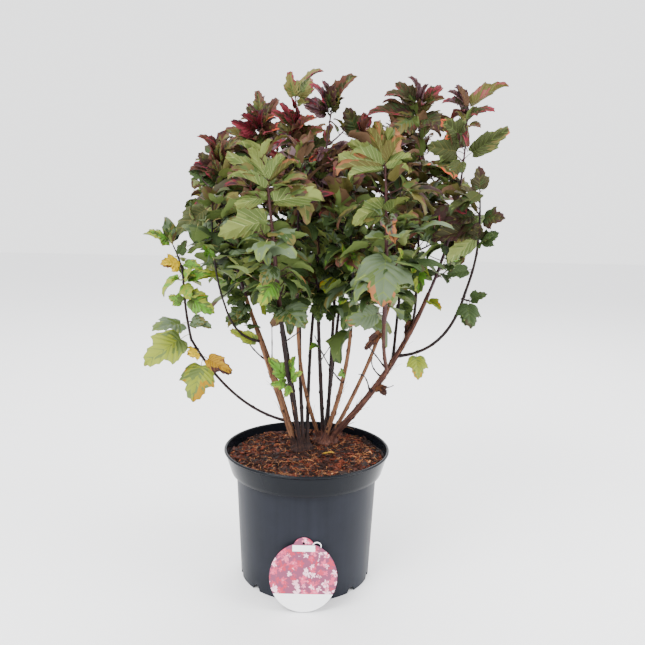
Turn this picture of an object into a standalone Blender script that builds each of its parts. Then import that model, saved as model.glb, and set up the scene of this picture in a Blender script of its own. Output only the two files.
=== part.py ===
"""A ninebark shrub in its nursery pot, 83 cm tall.

Many stems rise from two stools in the compost of a ten litre pot. Each stem and bough is one
tapering limb, and each mass of foliage is a leader with side twigs and leaves, joined in one solid.
Metres, +Z up, the origin in the middle of the pot's underside, +Y away from the front.
"""

import itertools
import math
from typing import NamedTuple

import bmesh
import bpy
import numpy as np

# Driving dimensions of the pot
POT_HEIGHT = 0.2208
POT_LIP_RADIUS = 0.1386
POT_LIP_HEIGHT = 0.0045
POT_BAND_HEIGHT = 0.0385
POT_BAND_FOOT_RADIUS = 0.1262
POT_BODY_TOP_RADIUS = 0.1178
POT_FOOT_RADIUS = 0.1095
POT_WALL = 0.0020
POT_FLOOR = 0.0030
POT_SIDES = 32
LIP_OVERHANG = 0.0022
LIP_ROUND = 0.0012
EDGE_ROUND = 0.0018
FOOT_CHANNEL_INNER = 0.0900
FOOT_CHANNEL_HEIGHT = 0.0100
NOTCH_COUNT = 12
NOTCH_WIDTH = 0.0150
NOTCH_HEIGHT = 0.0080
NOTCH_REACHES = (-0.0080, 0.0040)

# Driving dimensions of the compost
COMPOST_LEVEL = 0.2120
COMPOST_EDGE_DROP = 0.0060
COMPOST_FLAT_RADIUS = 0.0850

# Driving dimensions of the shrub
GAP = 0.0003
SEAT_GAP = 0.0004
SEAT_SEARCH = 0.0200
HALVINGS = 40
STOOL_HEIGHT = 0.0130
STOOL_RADIUS = 0.0205
STOOL_SIDES = 12
STOOL_MOUND = ((0.0, 0.0), (1.0, 0.0), (0.97, 0.25), (0.86, 0.70), (0.60, 1.0), (0.0, 1.12))
STOOL_LOBES = {"left_stool": 3, "right_stool": 4}
LOBE_SWELL = 0.10
STUB_RISE = 0.0090
STUB_FLARES = (1.45, 1.15, 1.0)
LIMB_SIDES = 6
LIMB_STEPS = 6
LEADER_STEPS = 6
LEADER_RADIUS = 0.0026
LEADER_BEND = 0.45
INTERNODE = 0.0160
SIDE_TWIG_EVERY = 3
LAST_SIDE_TWIG = 0.85
SHORTEST_BRANCHED = 0.10
SIDE_TWIG_NODES = ((0.55, 1.0), (0.80, -1.0))
FIRST_NODE = 0.04
FIRST_NODE_OF_SIDE_TWIG = 0.28
LAST_NODE = 0.96
LEAF_LENGTH = 0.0780
LEAF_WIDTH_SHARE = 0.74
LEAF_THICKNESS = 0.0021
LEAF_BELLY = 0.60
LEAF_HEART = 0.38
LEAF_ROOT_SUNK = 0.0005
LEAF_SIZES = (1.0, 0.86, 0.74)
LEAF_SWINGS = (0.0, 0.4, -0.4, 0.8, -0.8)
LEAF_LIFTS = (0.0, -0.6, 0.6)
LOW_DROOP = -0.75
TOP_RISE = 0.35
UPWARD_SHRINK = 0.20
TWIG_LEAF_SIZE = 0.94
TUFT_LEAVES = 3
TUFT_SIZE = 0.66
TUFT_RISE = 0.80
TUFT_RISE_STEP = 0.50
UPWARDS = np.array([0.0, 0.0, 1.0])
FRONT_FACE = np.array([0.0, -0.8, 0.6])
TWIG_RADIUS = 0.0015
TWIG_TIP_RADIUS = 0.0012
TWIG_SIDES = 3
GOLDEN_TURN = math.radians(137.5)
CELL_MARGIN = 0.0020
LIMB_MARGIN = 0.0015
LEAF_SPACING = 0.0190
CROWN_LOW = np.array([-0.265, -0.220, COMPOST_LEVEL + 0.010])
CROWN_HIGH = np.array([0.315, 0.270, 0.833])
BLADE_ROWS = 16
BLADE_COLUMNS = 11

# Driving dimensions of the tag
TAG_SIDES = 40
TAG_RADIUS = 0.0530
TAG_THICKNESS = 0.0008
TAG_FOOT_FORWARD = 0.1415
TAG_LIFT = 0.0006
TAG_EAR_RADIUS = 0.0170
TAG_EAR_RISE = 0.0480

# Base colour, roughness and metallic value of each finish
FINISHES = {
    "black_plastic": ((0.022, 0.024, 0.027), 0.38, 0.0),
    "bark_compost": ((0.110, 0.050, 0.028), 0.95, 0.0),
    "tan_bark": ((0.300, 0.180, 0.110), 0.80, 0.0),
    "dark_bark": ((0.060, 0.040, 0.036), 0.75, 0.0),
    "red_bark": ((0.160, 0.065, 0.050), 0.70, 0.0),
    "green_leaves": ((0.110, 0.180, 0.050), 0.55, 0.0),
    "bronze_leaves": ((0.130, 0.065, 0.045), 0.55, 0.0),
    "pale_leaves": ((0.300, 0.330, 0.130), 0.60, 0.0),
    "printed_card": ((0.780, 0.300, 0.400), 0.40, 0.0),
}


class Stem(NamedTuple):
    """A stem from a stool: the foot's place on the stool, a point half way up, and the tip."""

    name: str
    stool: str
    foot: tuple
    middle: tuple
    tip: tuple
    foot_radius: float
    tip_radius: float
    finish: str


class Bough(NamedTuple):
    """A limb from another limb, leaving it at a share of its length: 1 carries on from the tip."""

    name: str
    parent: str
    along: float
    middle: tuple
    tip: tuple
    foot_radius: float
    tip_radius: float
    finish: str


class Mass(NamedTuple):
    """A mass of foliage: its limb, the place it leaves it, its top, its side reach and its seed."""

    name: str
    limb: str
    along: float
    top: tuple
    reach: float
    seed: int
    finish: str


class OuterLeaf(NamedTuple):
    """A leaf that shapes the crown's outline: its mass, its share up the leader, and its tip."""

    mass: str
    share: float
    tip: tuple


STOOLS = {
    "left_stool": (-0.010, 0.008),
    "right_stool": (0.031, 0.048),
}

STEMS = (
    Stem("tan_left_stem", "left_stool", (-0.0130, 0.0000), (-0.067, 0.000, 0.362),
         (-0.105, 0.014, 0.472), 0.0040, 0.0030, "tan_bark"),
    Stem("dark_front_stem", "left_stool", (-0.0010, -0.0130), (-0.034, -0.028, 0.365),
         (-0.043, -0.074, 0.462), 0.0037, 0.0030, "dark_bark"),
    Stem("back_left_stem", "left_stool", (-0.0035, 0.0070), (-0.034, 0.034, 0.360),
         (-0.058, 0.075, 0.465), 0.0034, 0.0027, "dark_bark"),
    Stem("far_back_left_stem", "left_stool", (-0.0110, 0.0105), (-0.072, 0.070, 0.360),
         (-0.122, 0.128, 0.460), 0.0033, 0.0026, "tan_bark"),
    Stem("upright_left_stem", "left_stool", (0.0035, 0.0030), (-0.015, 0.046, 0.350),
         (-0.017, 0.068, 0.455), 0.0033, 0.0027, "dark_bark"),
    Stem("back_stem", "left_stool", (0.0100, 0.0090), (0.001, 0.080, 0.350),
         (0.008, 0.135, 0.460), 0.0033, 0.0026, "dark_bark"),
    Stem("crossing_stem", "right_stool", (-0.0115, -0.0010), (-0.009, 0.016, 0.335),
         (-0.018, -0.012, 0.440), 0.0034, 0.0026, "tan_bark"),
    Stem("upright_right_stem", "right_stool", (-0.0035, -0.0050), (0.020, 0.035, 0.345),
         (0.014, 0.030, 0.455), 0.0037, 0.0029, "dark_bark"),
    Stem("inner_right_stem", "right_stool", (0.0035, 0.0030), (0.038, 0.056, 0.350),
         (0.042, 0.078, 0.455), 0.0033, 0.0026, "dark_bark"),
    Stem("tan_right_stem", "right_stool", (0.0000, -0.0135), (0.058, 0.004, 0.335),
         (0.068, -0.020, 0.425), 0.0042, 0.0030, "tan_bark"),
    Stem("main_right_limb", "right_stool", (0.0110, -0.0060), (0.130, -0.006, 0.356),
         (0.194, 0.000, 0.485), 0.0060, 0.0032, "red_bark"),
    Stem("far_back_right_stem", "right_stool", (0.0125, 0.0060), (0.108, 0.100, 0.350),
         (0.150, 0.160, 0.460), 0.0036, 0.0028, "tan_bark"),
    Stem("back_right_stem", "right_stool", (0.0000, 0.0130), (0.044, 0.115, 0.350),
         (0.056, 0.175, 0.460), 0.0034, 0.0026, "dark_bark"),
)

BOUGHS = (
    Bough("low_left_bough", "tan_left_stem", 0.11, (-0.119, -0.010, 0.311),
          (-0.189, -0.022, 0.405), 0.0024, 0.0021, "dark_bark"),
    Bough("far_left_shoot", "low_left_bough", 1.0, (-0.196, -0.028, 0.455),
          (-0.199, -0.030, 0.500), 0.0021, 0.0018, "dark_bark"),
    Bough("left_side_bough", "tan_left_stem", 0.66, (-0.112, -0.022, 0.420),
          (-0.132, -0.036, 0.462), 0.0020, 0.0016, "dark_bark"),
    Bough("front_right_bough", "main_right_limb", 0.50, (0.119, -0.058, 0.405),
          (0.116, -0.085, 0.452), 0.0031, 0.0026, "red_bark"),
    Bough("inner_fork_bough", "main_right_limb", 0.56, (0.146, 0.034, 0.410),
          (0.154, 0.070, 0.470), 0.0027, 0.0023, "dark_bark"),
    Bough("upper_fork_bough", "main_right_limb", 0.70, (0.174, 0.028, 0.435),
          (0.180, 0.048, 0.480), 0.0025, 0.0022, "dark_bark"),
    Bough("far_right_bough", "main_right_limb", 0.60, (0.208, -0.030, 0.414),
          (0.246, -0.032, 0.488), 0.0026, 0.0022, "dark_bark"),
    Bough("far_right_shoot", "far_right_bough", 1.0, (0.258, -0.031, 0.530),
          (0.263, -0.030, 0.565), 0.0022, 0.0019, "dark_bark"),
)

MASSES = (
    Mass("far_left_leaves", "far_left_shoot", 1.0, (-0.216, -0.030, 0.560), 0.050, 11, "green_leaves"),
    Mass("low_left_leaves", "low_left_bough", 0.93, (-0.216, -0.038, 0.398), 0.046, 12, "pale_leaves"),
    Mass("left_side_leaves", "left_side_bough", 1.0, (-0.150, -0.045, 0.620), 0.062, 13, "green_leaves"),
    Mass("left_crown", "tan_left_stem", 1.0, (-0.155, 0.040, 0.715), 0.070, 14, "bronze_leaves"),
    Mass("back_left_crown", "back_left_stem", 1.0, (-0.088, 0.080, 0.755), 0.070, 15, "bronze_leaves"),
    Mass("far_back_left_crown", "far_back_left_stem", 1.0, (-0.150, 0.155, 0.700), 0.072, 16,
         "bronze_leaves"),
    Mass("front_left_leader", "dark_front_stem", 1.0, (-0.062, -0.138, 0.690), 0.066, 17,
         "pale_leaves"),
    Mass("front_middle_leaves", "crossing_stem", 1.0, (-0.015, -0.060, 0.690), 0.064, 18,
         "bronze_leaves"),
    Mass("top_left_leader", "upright_left_stem", 1.0, (-0.028, 0.030, 0.790), 0.064, 19,
         "bronze_leaves"),
    Mass("back_crown", "back_stem", 1.0, (0.002, 0.150, 0.735), 0.070, 20, "green_leaves"),
    Mass("top_middle_leader", "upright_right_stem", 1.0, (0.034, 0.005, 0.800), 0.062, 21,
         "bronze_leaves"),
    Mass("inner_right_crown", "inner_right_stem", 1.0, (0.082, 0.080, 0.740), 0.068, 22,
         "bronze_leaves"),
    Mass("front_crown", "tan_right_stem", 1.0, (0.052, -0.085, 0.650), 0.062, 23, "green_leaves"),
    Mass("front_right_leader", "front_right_bough", 1.0, (0.106, -0.120, 0.700), 0.066, 24,
         "pale_leaves"),
    Mass("right_crown", "inner_fork_bough", 1.0, (0.138, 0.098, 0.745), 0.068, 25, "bronze_leaves"),
    Mass("top_right_leader", "upper_fork_bough", 1.0, (0.170, 0.036, 0.795), 0.066, 26,
         "bronze_leaves"),
    Mass("far_top_right_leader", "main_right_limb", 1.0, (0.244, 0.012, 0.790), 0.066, 27,
         "bronze_leaves"),
    Mass("far_right_leaves", "far_right_shoot", 1.0, (0.260, -0.034, 0.660), 0.052, 28,
         "green_leaves"),
    Mass("low_right_leaves", "far_right_bough", 0.96, (0.262, -0.046, 0.478), 0.040, 29,
         "green_leaves"),
    Mass("far_back_right_crown", "far_back_right_stem", 1.0, (0.196, 0.172, 0.690), 0.072, 30,
         "bronze_leaves"),
    Mass("back_right_crown", "back_right_stem", 1.0, (0.066, 0.200, 0.705), 0.070, 31,
         "green_leaves"),
    Mass("low_front_leaves", "dark_front_stem", 0.38, (-0.034, -0.078, 0.345), 0.044, 32,
         "green_leaves"),
)

OUTER_LEAVES = (
    OuterLeaf("low_left_leaves", 0.70, (-0.246, -0.090, 0.378)),
    OuterLeaf("low_left_leaves", 0.95, (-0.256, 0.010, 0.412)),
    OuterLeaf("far_left_leaves", 0.50, (-0.228, -0.064, 0.530)),
    OuterLeaf("far_left_leaves", 0.96, (-0.248, -0.062, 0.578)),
    OuterLeaf("front_right_leader", 0.48, (0.105, -0.164, 0.486)),
    OuterLeaf("front_right_leader", 0.93, (0.057, -0.160, 0.694)),
    OuterLeaf("front_right_leader", 0.96, (0.107, -0.158, 0.730)),
    OuterLeaf("front_right_leader", 0.94, (0.135, -0.166, 0.692)),
    OuterLeaf("low_right_leaves", 0.30, (0.250, -0.076, 0.441)),
    OuterLeaf("low_right_leaves", 0.40, (0.276, -0.062, 0.494)),
    OuterLeaf("far_right_leaves", 0.04, (0.284, -0.086, 0.593)),
    OuterLeaf("far_right_leaves", 0.46, (0.294, -0.072, 0.610)),
    OuterLeaf("far_right_leaves", 0.83, (0.256, -0.040, 0.688)),
    OuterLeaf("far_top_right_leader", 0.73, (0.312, 0.020, 0.748)),
    OuterLeaf("far_top_right_leader", 0.97, (0.297, -0.026, 0.806)),
    OuterLeaf("far_top_right_leader", 0.95, (0.218, -0.010, 0.805)),
    OuterLeaf("inner_right_crown", 0.96, (0.096, 0.040, 0.765)),
    OuterLeaf("top_right_leader", 0.97, (0.148, 0.020, 0.824)),
    OuterLeaf("top_right_leader", 0.97, (0.208, 0.056, 0.814)),
    OuterLeaf("top_left_leader", 0.98, (-0.006, 0.066, 0.826)),
    OuterLeaf("top_left_leader", 0.98, (-0.036, 0.036, 0.832)),
    OuterLeaf("top_middle_leader", 0.91, (0.068, -0.032, 0.816)),
    OuterLeaf("top_middle_leader", 0.91, (-0.006, -0.026, 0.804)),
    OuterLeaf("top_middle_leader", 0.96, (0.016, -0.010, 0.826)),
    OuterLeaf("left_crown", 0.76, (-0.200, 0.026, 0.672)),
    OuterLeaf("left_crown", 0.97, (-0.182, 0.006, 0.726)),
    OuterLeaf("front_left_leader", 0.66, (-0.128, -0.142, 0.580)),
    OuterLeaf("front_left_leader", 0.76, (0.018, -0.186, 0.632)),
    OuterLeaf("front_left_leader", 0.89, (-0.110, -0.172, 0.692)),
    OuterLeaf("front_left_leader", 0.87, (-0.034, -0.174, 0.688)),
)


def remove_all_objects():
    for obj in list(bpy.data.objects):
        bpy.data.objects.remove(obj, do_unlink=True)


def finish_of(name):
    """The Principled material of a finish, made once and shared."""
    found = bpy.data.materials.get(name)
    if found:
        return found
    colour, roughness, metallic = FINISHES[name]
    material = bpy.data.materials.new(name)
    material.use_nodes = True
    shader = material.node_tree.nodes["Principled BSDF"]
    shader.inputs["Base Color"].default_value = (*colour, 1.0)
    shader.inputs["Roughness"].default_value = roughness
    shader.inputs["Metallic"].default_value = metallic
    material.diffuse_color = (*colour, 1.0)
    return material


def add_object(name, points, faces, finish=None, collection=None):
    """A mesh object of these points and faces, at the origin."""
    mesh = bpy.data.meshes.new(name)
    mesh.from_pydata([tuple(map(float, point)) for point in points], [], faces)
    mesh.validate()
    mesh.update()
    obj = bpy.data.objects.new(name, mesh)
    (collection or bpy.context.scene.collection).objects.link(obj)
    if finish:
        mesh.materials.append(finish_of(finish))
    return obj


def smooth(obj, angle=40.0):
    obj.data.shade_smooth()
    obj.data.set_sharp_from_angle(angle=math.radians(angle))


def unit(vector):
    vector = np.asarray(vector, float)
    return vector / np.linalg.norm(vector)


def through(start, middle, tip, steps):
    """A parabola that starts at start, passes middle half way and ends at tip."""
    control = 2 * middle - (start + tip) / 2
    return bent(start, control, tip, steps)


def bent(start, control, tip, steps):
    """A parabola drawn out towards its control point."""
    t = np.linspace(0.0, 1.0, steps + 1)[:, None]
    return (1 - t) ** 2 * start + 2 * t * (1 - t) * control + t**2 * tip


def directions(path):
    """The path's direction at each of its points."""
    step = np.gradient(path, axis=0)
    return step / np.linalg.norm(step, axis=1)[:, None]


def rings_along(path, radii, sides, first_aim=None):
    """Rings of points round a path, each square to it, turned as little as can be from ring to ring."""
    along = directions(path)
    if first_aim is not None:
        along[0] = first_aim
    across = np.cross(along[0], (0.0, 1.0, 0.0) if abs(along[0][1]) < 0.9 else (1.0, 0.0, 0.0))
    turns = np.arange(sides) * 2 * math.pi / sides
    rings = []
    for centre, ahead, radius in zip(path, along, radii):
        across = unit(across - ahead * np.dot(across, ahead))
        up = np.cross(ahead, across)
        circle = np.cos(turns)[:, None] * across + np.sin(turns)[:, None] * up
        rings.append(centre + radius * circle)
    return rings


def tube_mesh(rings, foot_centre=None):
    """Points and faces of a closed tube through rings of equal count, its ends flat.

    A foot that is seated on a round limb isn't flat, so its end is a fan round its own centre.
    """
    sides = len(rings[0])
    points = np.concatenate(rings)
    faces = []
    if foot_centre is None:
        faces.append(tuple(range(sides))[::-1])
    else:
        points = np.concatenate([points, [foot_centre]])
        faces += [((side + 1) % sides, side, len(points) - 1) for side in range(sides)]
    for ring in range(len(rings) - 1):
        low = ring * sides
        high = low + sides
        for side in range(sides):
            following = (side + 1) % sides
            faces.append((low + side, low + following, high + following, high + side))
    faces.append(tuple(range((len(rings) - 1) * sides, len(rings) * sides)))
    return points, faces


def turned(profile, sides, swell=None):
    """Points and faces of a profile of (radius, height) pairs turned about Z, its ends on the axis."""
    turns = np.arange(sides) * 2 * math.pi / sides
    points = []
    rows = []
    for radius, height in profile:
        if radius == 0.0:
            rows.append([len(points)] * sides)
            points.append((0.0, 0.0, height))
            continue
        rows.append(list(range(len(points), len(points) + sides)))
        for turn in turns:
            wide = radius * (swell(turn) if swell else 1.0)
            points.append((wide * math.cos(turn), wide * math.sin(turn), height))
    faces = []
    for low, high in zip(rows, rows[1:]):
        for side in range(sides):
            following = (side + 1) % sides
            corners = [low[side], low[following], high[following], high[side]]
            faces.append(tuple(dict.fromkeys(corners)))
    return points, faces


def combined(base, collection, operation):
    """The base with every object of the collection united with it or cut from it, which then go."""
    modifier = base.modifiers.new("combined", "BOOLEAN")
    modifier.operation = operation
    modifier.operand_type = "COLLECTION"
    modifier.collection = collection
    modifier.solver = "EXACT"
    bpy.context.view_layer.update()
    graph = bpy.context.evaluated_depsgraph_get()
    mesh = bpy.data.meshes.new_from_object(base.evaluated_get(graph))
    base.modifiers.remove(modifier)
    base.data = mesh
    for obj in list(collection.objects):
        bpy.data.objects.remove(obj, do_unlink=True)
    bpy.data.collections.remove(collection)


def joined(base, collection):
    """The base united with every object of the collection, as one body."""
    combined(base, collection, "UNION")
    keep_largest_body(base)


def keep_largest_body(obj):
    """Only the shell of the largest volume stays, so that sealed hollows fill and scraps drop."""
    shape = bmesh.new()
    shape.from_mesh(obj.data)
    bmesh.ops.triangulate(shape, faces=shape.faces[:])
    left = set(shape.faces)
    bodies = []
    while left:
        body = {left.pop()}
        edge_of_body = list(body)
        while edge_of_body:
            face = edge_of_body.pop()
            for edge in face.edges:
                for beside in edge.link_faces:
                    if beside in left:
                        left.remove(beside)
                        body.add(beside)
                        edge_of_body.append(beside)
        volume = sum(
            face.verts[0].co.dot(face.verts[1].co.cross(face.verts[2].co)) / 6 for face in body
        )
        bodies.append((volume, len(bodies), body))
    largest = max(bodies)[2]
    bmesh.ops.delete(shape, geom=[face for face in shape.faces if face not in largest], context="FACES")
    loose = [vertex for vertex in shape.verts if not vertex.link_faces]
    bmesh.ops.delete(shape, geom=loose, context="VERTS")
    shape.to_mesh(obj.data)
    shape.free()


def new_collection(name):
    collection = bpy.data.collections.new(name)
    bpy.context.scene.collection.children.link(collection)
    return collection


def wall_radius(height):
    """The outer radius of the pot's tapering body at a height."""
    share = height / (POT_HEIGHT - POT_BAND_HEIGHT)
    return POT_FOOT_RADIUS + share * (POT_BODY_TOP_RADIUS - POT_FOOT_RADIUS)


def pot_profiles():
    """The pot's outer and inner profiles, each from the axis out and up to the lip."""
    band_foot = POT_HEIGHT - POT_BAND_HEIGHT
    lip_foot = POT_HEIGHT - POT_LIP_HEIGHT
    band_top_radius = POT_LIP_RADIUS - LIP_OVERHANG
    skirt_inner = POT_FOOT_RADIUS - POT_WALL
    channel_roof = FOOT_CHANNEL_HEIGHT + POT_WALL
    outer = [
        (0.0, 0.0),
        (FOOT_CHANNEL_INNER, 0.0),
        (FOOT_CHANNEL_INNER + EDGE_ROUND, FOOT_CHANNEL_HEIGHT - EDGE_ROUND),
        (FOOT_CHANNEL_INNER + 2 * EDGE_ROUND, FOOT_CHANNEL_HEIGHT),
        (skirt_inner - LIP_ROUND, FOOT_CHANNEL_HEIGHT),
        (skirt_inner, 0.0),
        (POT_FOOT_RADIUS, 0.0),
        (POT_BODY_TOP_RADIUS, band_foot),
        (POT_BAND_FOOT_RADIUS - EDGE_ROUND, band_foot),
        (POT_BAND_FOOT_RADIUS, band_foot + EDGE_ROUND),
        (band_top_radius, lip_foot),
        (POT_LIP_RADIUS - LIP_ROUND / 2, lip_foot),
        (POT_LIP_RADIUS, lip_foot + LIP_ROUND),
        (POT_LIP_RADIUS, POT_HEIGHT - LIP_ROUND),
        (POT_LIP_RADIUS - LIP_ROUND, POT_HEIGHT),
    ]
    inner = [
        (0.0, POT_FLOOR),
        (FOOT_CHANNEL_INNER - POT_WALL, POT_FLOOR),
        (FOOT_CHANNEL_INNER, channel_roof),
        (wall_radius(channel_roof) - POT_WALL, channel_roof),
        (POT_BODY_TOP_RADIUS - POT_WALL, band_foot + POT_WALL),
        (POT_BAND_FOOT_RADIUS - POT_WALL - EDGE_ROUND / 2, band_foot + POT_WALL),
        (POT_BAND_FOOT_RADIUS - POT_WALL, band_foot + POT_WALL + EDGE_ROUND),
        (band_top_radius - POT_WALL, lip_foot),
        (POT_LIP_RADIUS - LIP_OVERHANG - LIP_ROUND, POT_HEIGHT),
    ]
    return outer, inner


def make_pot():
    outer, inner = pot_profiles()
    points, faces = turned(outer + inner[::-1], POT_SIDES)
    pot = add_object("pot", points, faces, "black_plastic")
    notches = new_collection("foot_notches")
    arch = [(-0.5, -0.5), (0.5, -0.5), (0.5, 0.55), (0.3, 1.0), (-0.3, 1.0), (-0.5, 0.55)]
    for notch in range(NOTCH_COUNT):
        turn = (notch + 0.5) * 2 * math.pi / NOTCH_COUNT
        outwards = np.array([math.cos(turn), math.sin(turn), 0.0])
        sideways = np.array([-math.sin(turn), math.cos(turn), 0.0])
        outline = np.array([
            sideways * across * NOTCH_WIDTH + UPWARDS * rise * NOTCH_HEIGHT for across, rise in arch
        ])
        rings = [outline + outwards * (POT_FOOT_RADIUS + reach) for reach in NOTCH_REACHES]
        cutter_points, cutter_faces = tube_mesh(rings)
        cutter = add_object(f"notch_{notch}", cutter_points, cutter_faces, None, notches)
        outward_normals(cutter)
    combined(pot, notches, "DIFFERENCE")
    smooth(pot, 30.0)
    return inner


def outward_normals(obj):
    shape = bmesh.new()
    shape.from_mesh(obj.data)
    bmesh.ops.recalc_face_normals(shape, faces=shape.faces[:])
    shape.to_mesh(obj.data)
    shape.free()


def radius_at(profile, height):
    """The profile's radius at a height, measured along its rising part."""
    heights = [rise for _, rise in profile]
    radii = [radius for radius, _ in profile]
    return float(np.interp(height, heights, radii))


def make_compost(inner):
    """The compost fills the pot to just under its lip, flat where the stools stand."""
    edge_level = COMPOST_LEVEL - COMPOST_EDGE_DROP
    profile = [(0.0, POT_FLOOR + GAP)]
    profile.append((inner[1][0] - GAP, POT_FLOOR + GAP))
    for radius, height in inner[2:7]:
        profile.append((radius - 2 * GAP, height + GAP))
    profile.append((radius_at(inner[6:], edge_level) - 2 * GAP, edge_level))
    profile.append((COMPOST_FLAT_RADIUS, COMPOST_LEVEL))
    profile.append((0.0, COMPOST_LEVEL))
    points, faces = turned(profile, POT_SIDES)
    compost = add_object("compost", points, faces, "bark_compost")
    smooth(compost, 30.0)


def stem_start(stem):
    """The top of the stub that the stem stands on, aimed along the stem's own curve."""
    x, y = STOOLS[stem.stool]
    foot = np.array([x + stem.foot[0], y + stem.foot[1], COMPOST_LEVEL + STOOL_HEIGHT])
    aim = unit(2 * np.array(stem.middle) - (foot + np.array(stem.tip)) / 2 - foot)
    return foot + aim * STUB_RISE


def seated(points, aim, parent_path, parent_radii):
    """Each point of a foot moved along the limb until it clears its parent's bark."""
    places = []
    for point in points:
        low, high = -SEAT_SEARCH, SEAT_SEARCH
        for _ in range(HALVINGS):
            middle = (low + high) / 2
            near, radius = nearest_on(parent_path, parent_radii, point + aim * middle)
            if near < radius + SEAT_GAP:
                low = middle
            else:
                high = middle
        places.append(point + aim * high)
    return np.array(places)


def limb_mesh(path, radii, sides, parent, along):
    """A limb whose foot carries on square from its parent's tip, or is seated on the parent's side."""
    parent_path, parent_radii, _ = parent
    if along >= 1.0:
        return tube_mesh(rings_along(path, radii, sides, directions(parent_path)[-1]))
    rings = rings_along(path, radii, sides)
    foot = np.concatenate([rings[0], path[:1]])
    foot = seated(foot, directions(path)[0], parent_path, parent_radii)
    rings[0] = foot[:-1]
    return tube_mesh(rings, foot[-1])


def nearest_on(path, radii, point):
    """The distance from a point to a path, and the path's radius there."""
    start = path[:-1]
    step = path[1:] - start
    share = np.clip(((point - start) * step).sum(1) / (step**2).sum(1), 0.0, 1.0)
    distance = np.linalg.norm(start + share[:, None] * step - point, axis=1)
    best = int(distance.argmin())
    radius = radii[best] + share[best] * (radii[best + 1] - radii[best])
    return float(distance[best]), float(radius)


def all_limbs():
    """Every limb's path and radii by name, with the row that it comes from."""
    limbs = {}
    for row in STEMS + BOUGHS:
        if isinstance(row, Stem):
            start = stem_start(row)
        else:
            start = leaving_point(limbs[row.parent][0], row.along)
        path = through(start, np.array(row.middle), np.array(row.tip), LIMB_STEPS)
        radii = np.linspace(row.foot_radius, row.tip_radius, LIMB_STEPS + 1)
        limbs[row.name] = (path, radii, row)
    return limbs


def leaving_point(path, along):
    """The point at a share of a limb's length, or just past its tip at 1."""
    if along >= 1.0:
        return path[-1] + directions(path)[-1] * GAP
    place = along * (len(path) - 1)
    low = int(place)
    return path[low] + (place - low) * (path[low + 1] - path[low])


def make_stool(name, centre, limbs):
    """A lobed mound, cut flat at the compost, with a stub that rises to the foot of each stem."""
    profile = [(STOOL_RADIUS * radius, STOOL_HEIGHT * rise) for radius, rise in STOOL_MOUND]
    lobes = STOOL_LOBES[name]
    points, faces = turned(profile, STOOL_SIDES, lambda turn: 1.0 + LOBE_SWELL * math.cos(lobes * turn))
    place = np.array([centre[0], centre[1], COMPOST_LEVEL + GAP])
    stool = add_object(name, np.array(points) + place, faces, "tan_bark")
    outward_normals(stool)
    stubs = new_collection(name + "_stubs")
    for stem in STEMS:
        if stem.stool != name:
            continue
        path = limbs[stem.name][0]
        aim = directions(path)[0]
        end = path[0] - aim * GAP
        depths = np.array([STUB_RISE + STOOL_HEIGHT / 2, STUB_RISE / 2, 0.0])
        radii = [stem.foot_radius * flare for flare in STUB_FLARES]
        rings = rings_along(end - depths[:, None] * aim, radii, LIMB_SIDES)
        stub_points, stub_faces = tube_mesh(rings)
        add_object(stem.name + "_stub", stub_points, stub_faces, None, stubs)
    joined(stool, stubs)
    smooth(stool, 50.0)


def make_limb(name, limbs):
    path, radii, row = limbs[name]
    if isinstance(row, Bough):
        points, faces = limb_mesh(path, radii, LIMB_SIDES, limbs[row.parent], row.along)
    else:
        points, faces = tube_mesh(rings_along(path, radii, LIMB_SIDES))
    limb = add_object(name, points, faces, row.finish)
    smooth(limb, 60.0)


def leader_path(mass, limbs):
    """The leader carries on the way its limb points, then bends up to its top."""
    limb_path, radii_of_limb, _ = limbs[mass.limb]
    start = leaving_point(limb_path, mass.along)
    top = np.array(mass.top)
    length = np.linalg.norm(top - start)
    aim = unit(top - start)
    start_radius = TWIG_RADIUS
    if mass.along >= 1.0:
        aim = directions(limb_path)[-1]
        start_radius = min(radii_of_limb[-1], LEADER_RADIUS)
    path = bent(start, start + aim * length * LEADER_BEND, top, LEADER_STEPS)
    return path, np.linspace(start_radius, TWIG_RADIUS, LEADER_STEPS + 1)


def segments(paths):
    """The first points and the steps of every stretch of these paths."""
    starts = np.concatenate([path[:-1] for path in paths])
    steps = np.concatenate([np.diff(path, axis=0) for path in paths])
    return starts, steps


def distances_to(stretches, points):
    """The distance of each point from each stretch of a path."""
    starts, steps = stretches
    offset = points[:, None] - starts[None]
    share = np.clip((offset * steps).sum(2) / (steps**2).sum(1), 0.0, 1.0)
    return np.linalg.norm(offset - share[..., None] * steps, axis=2)


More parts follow.
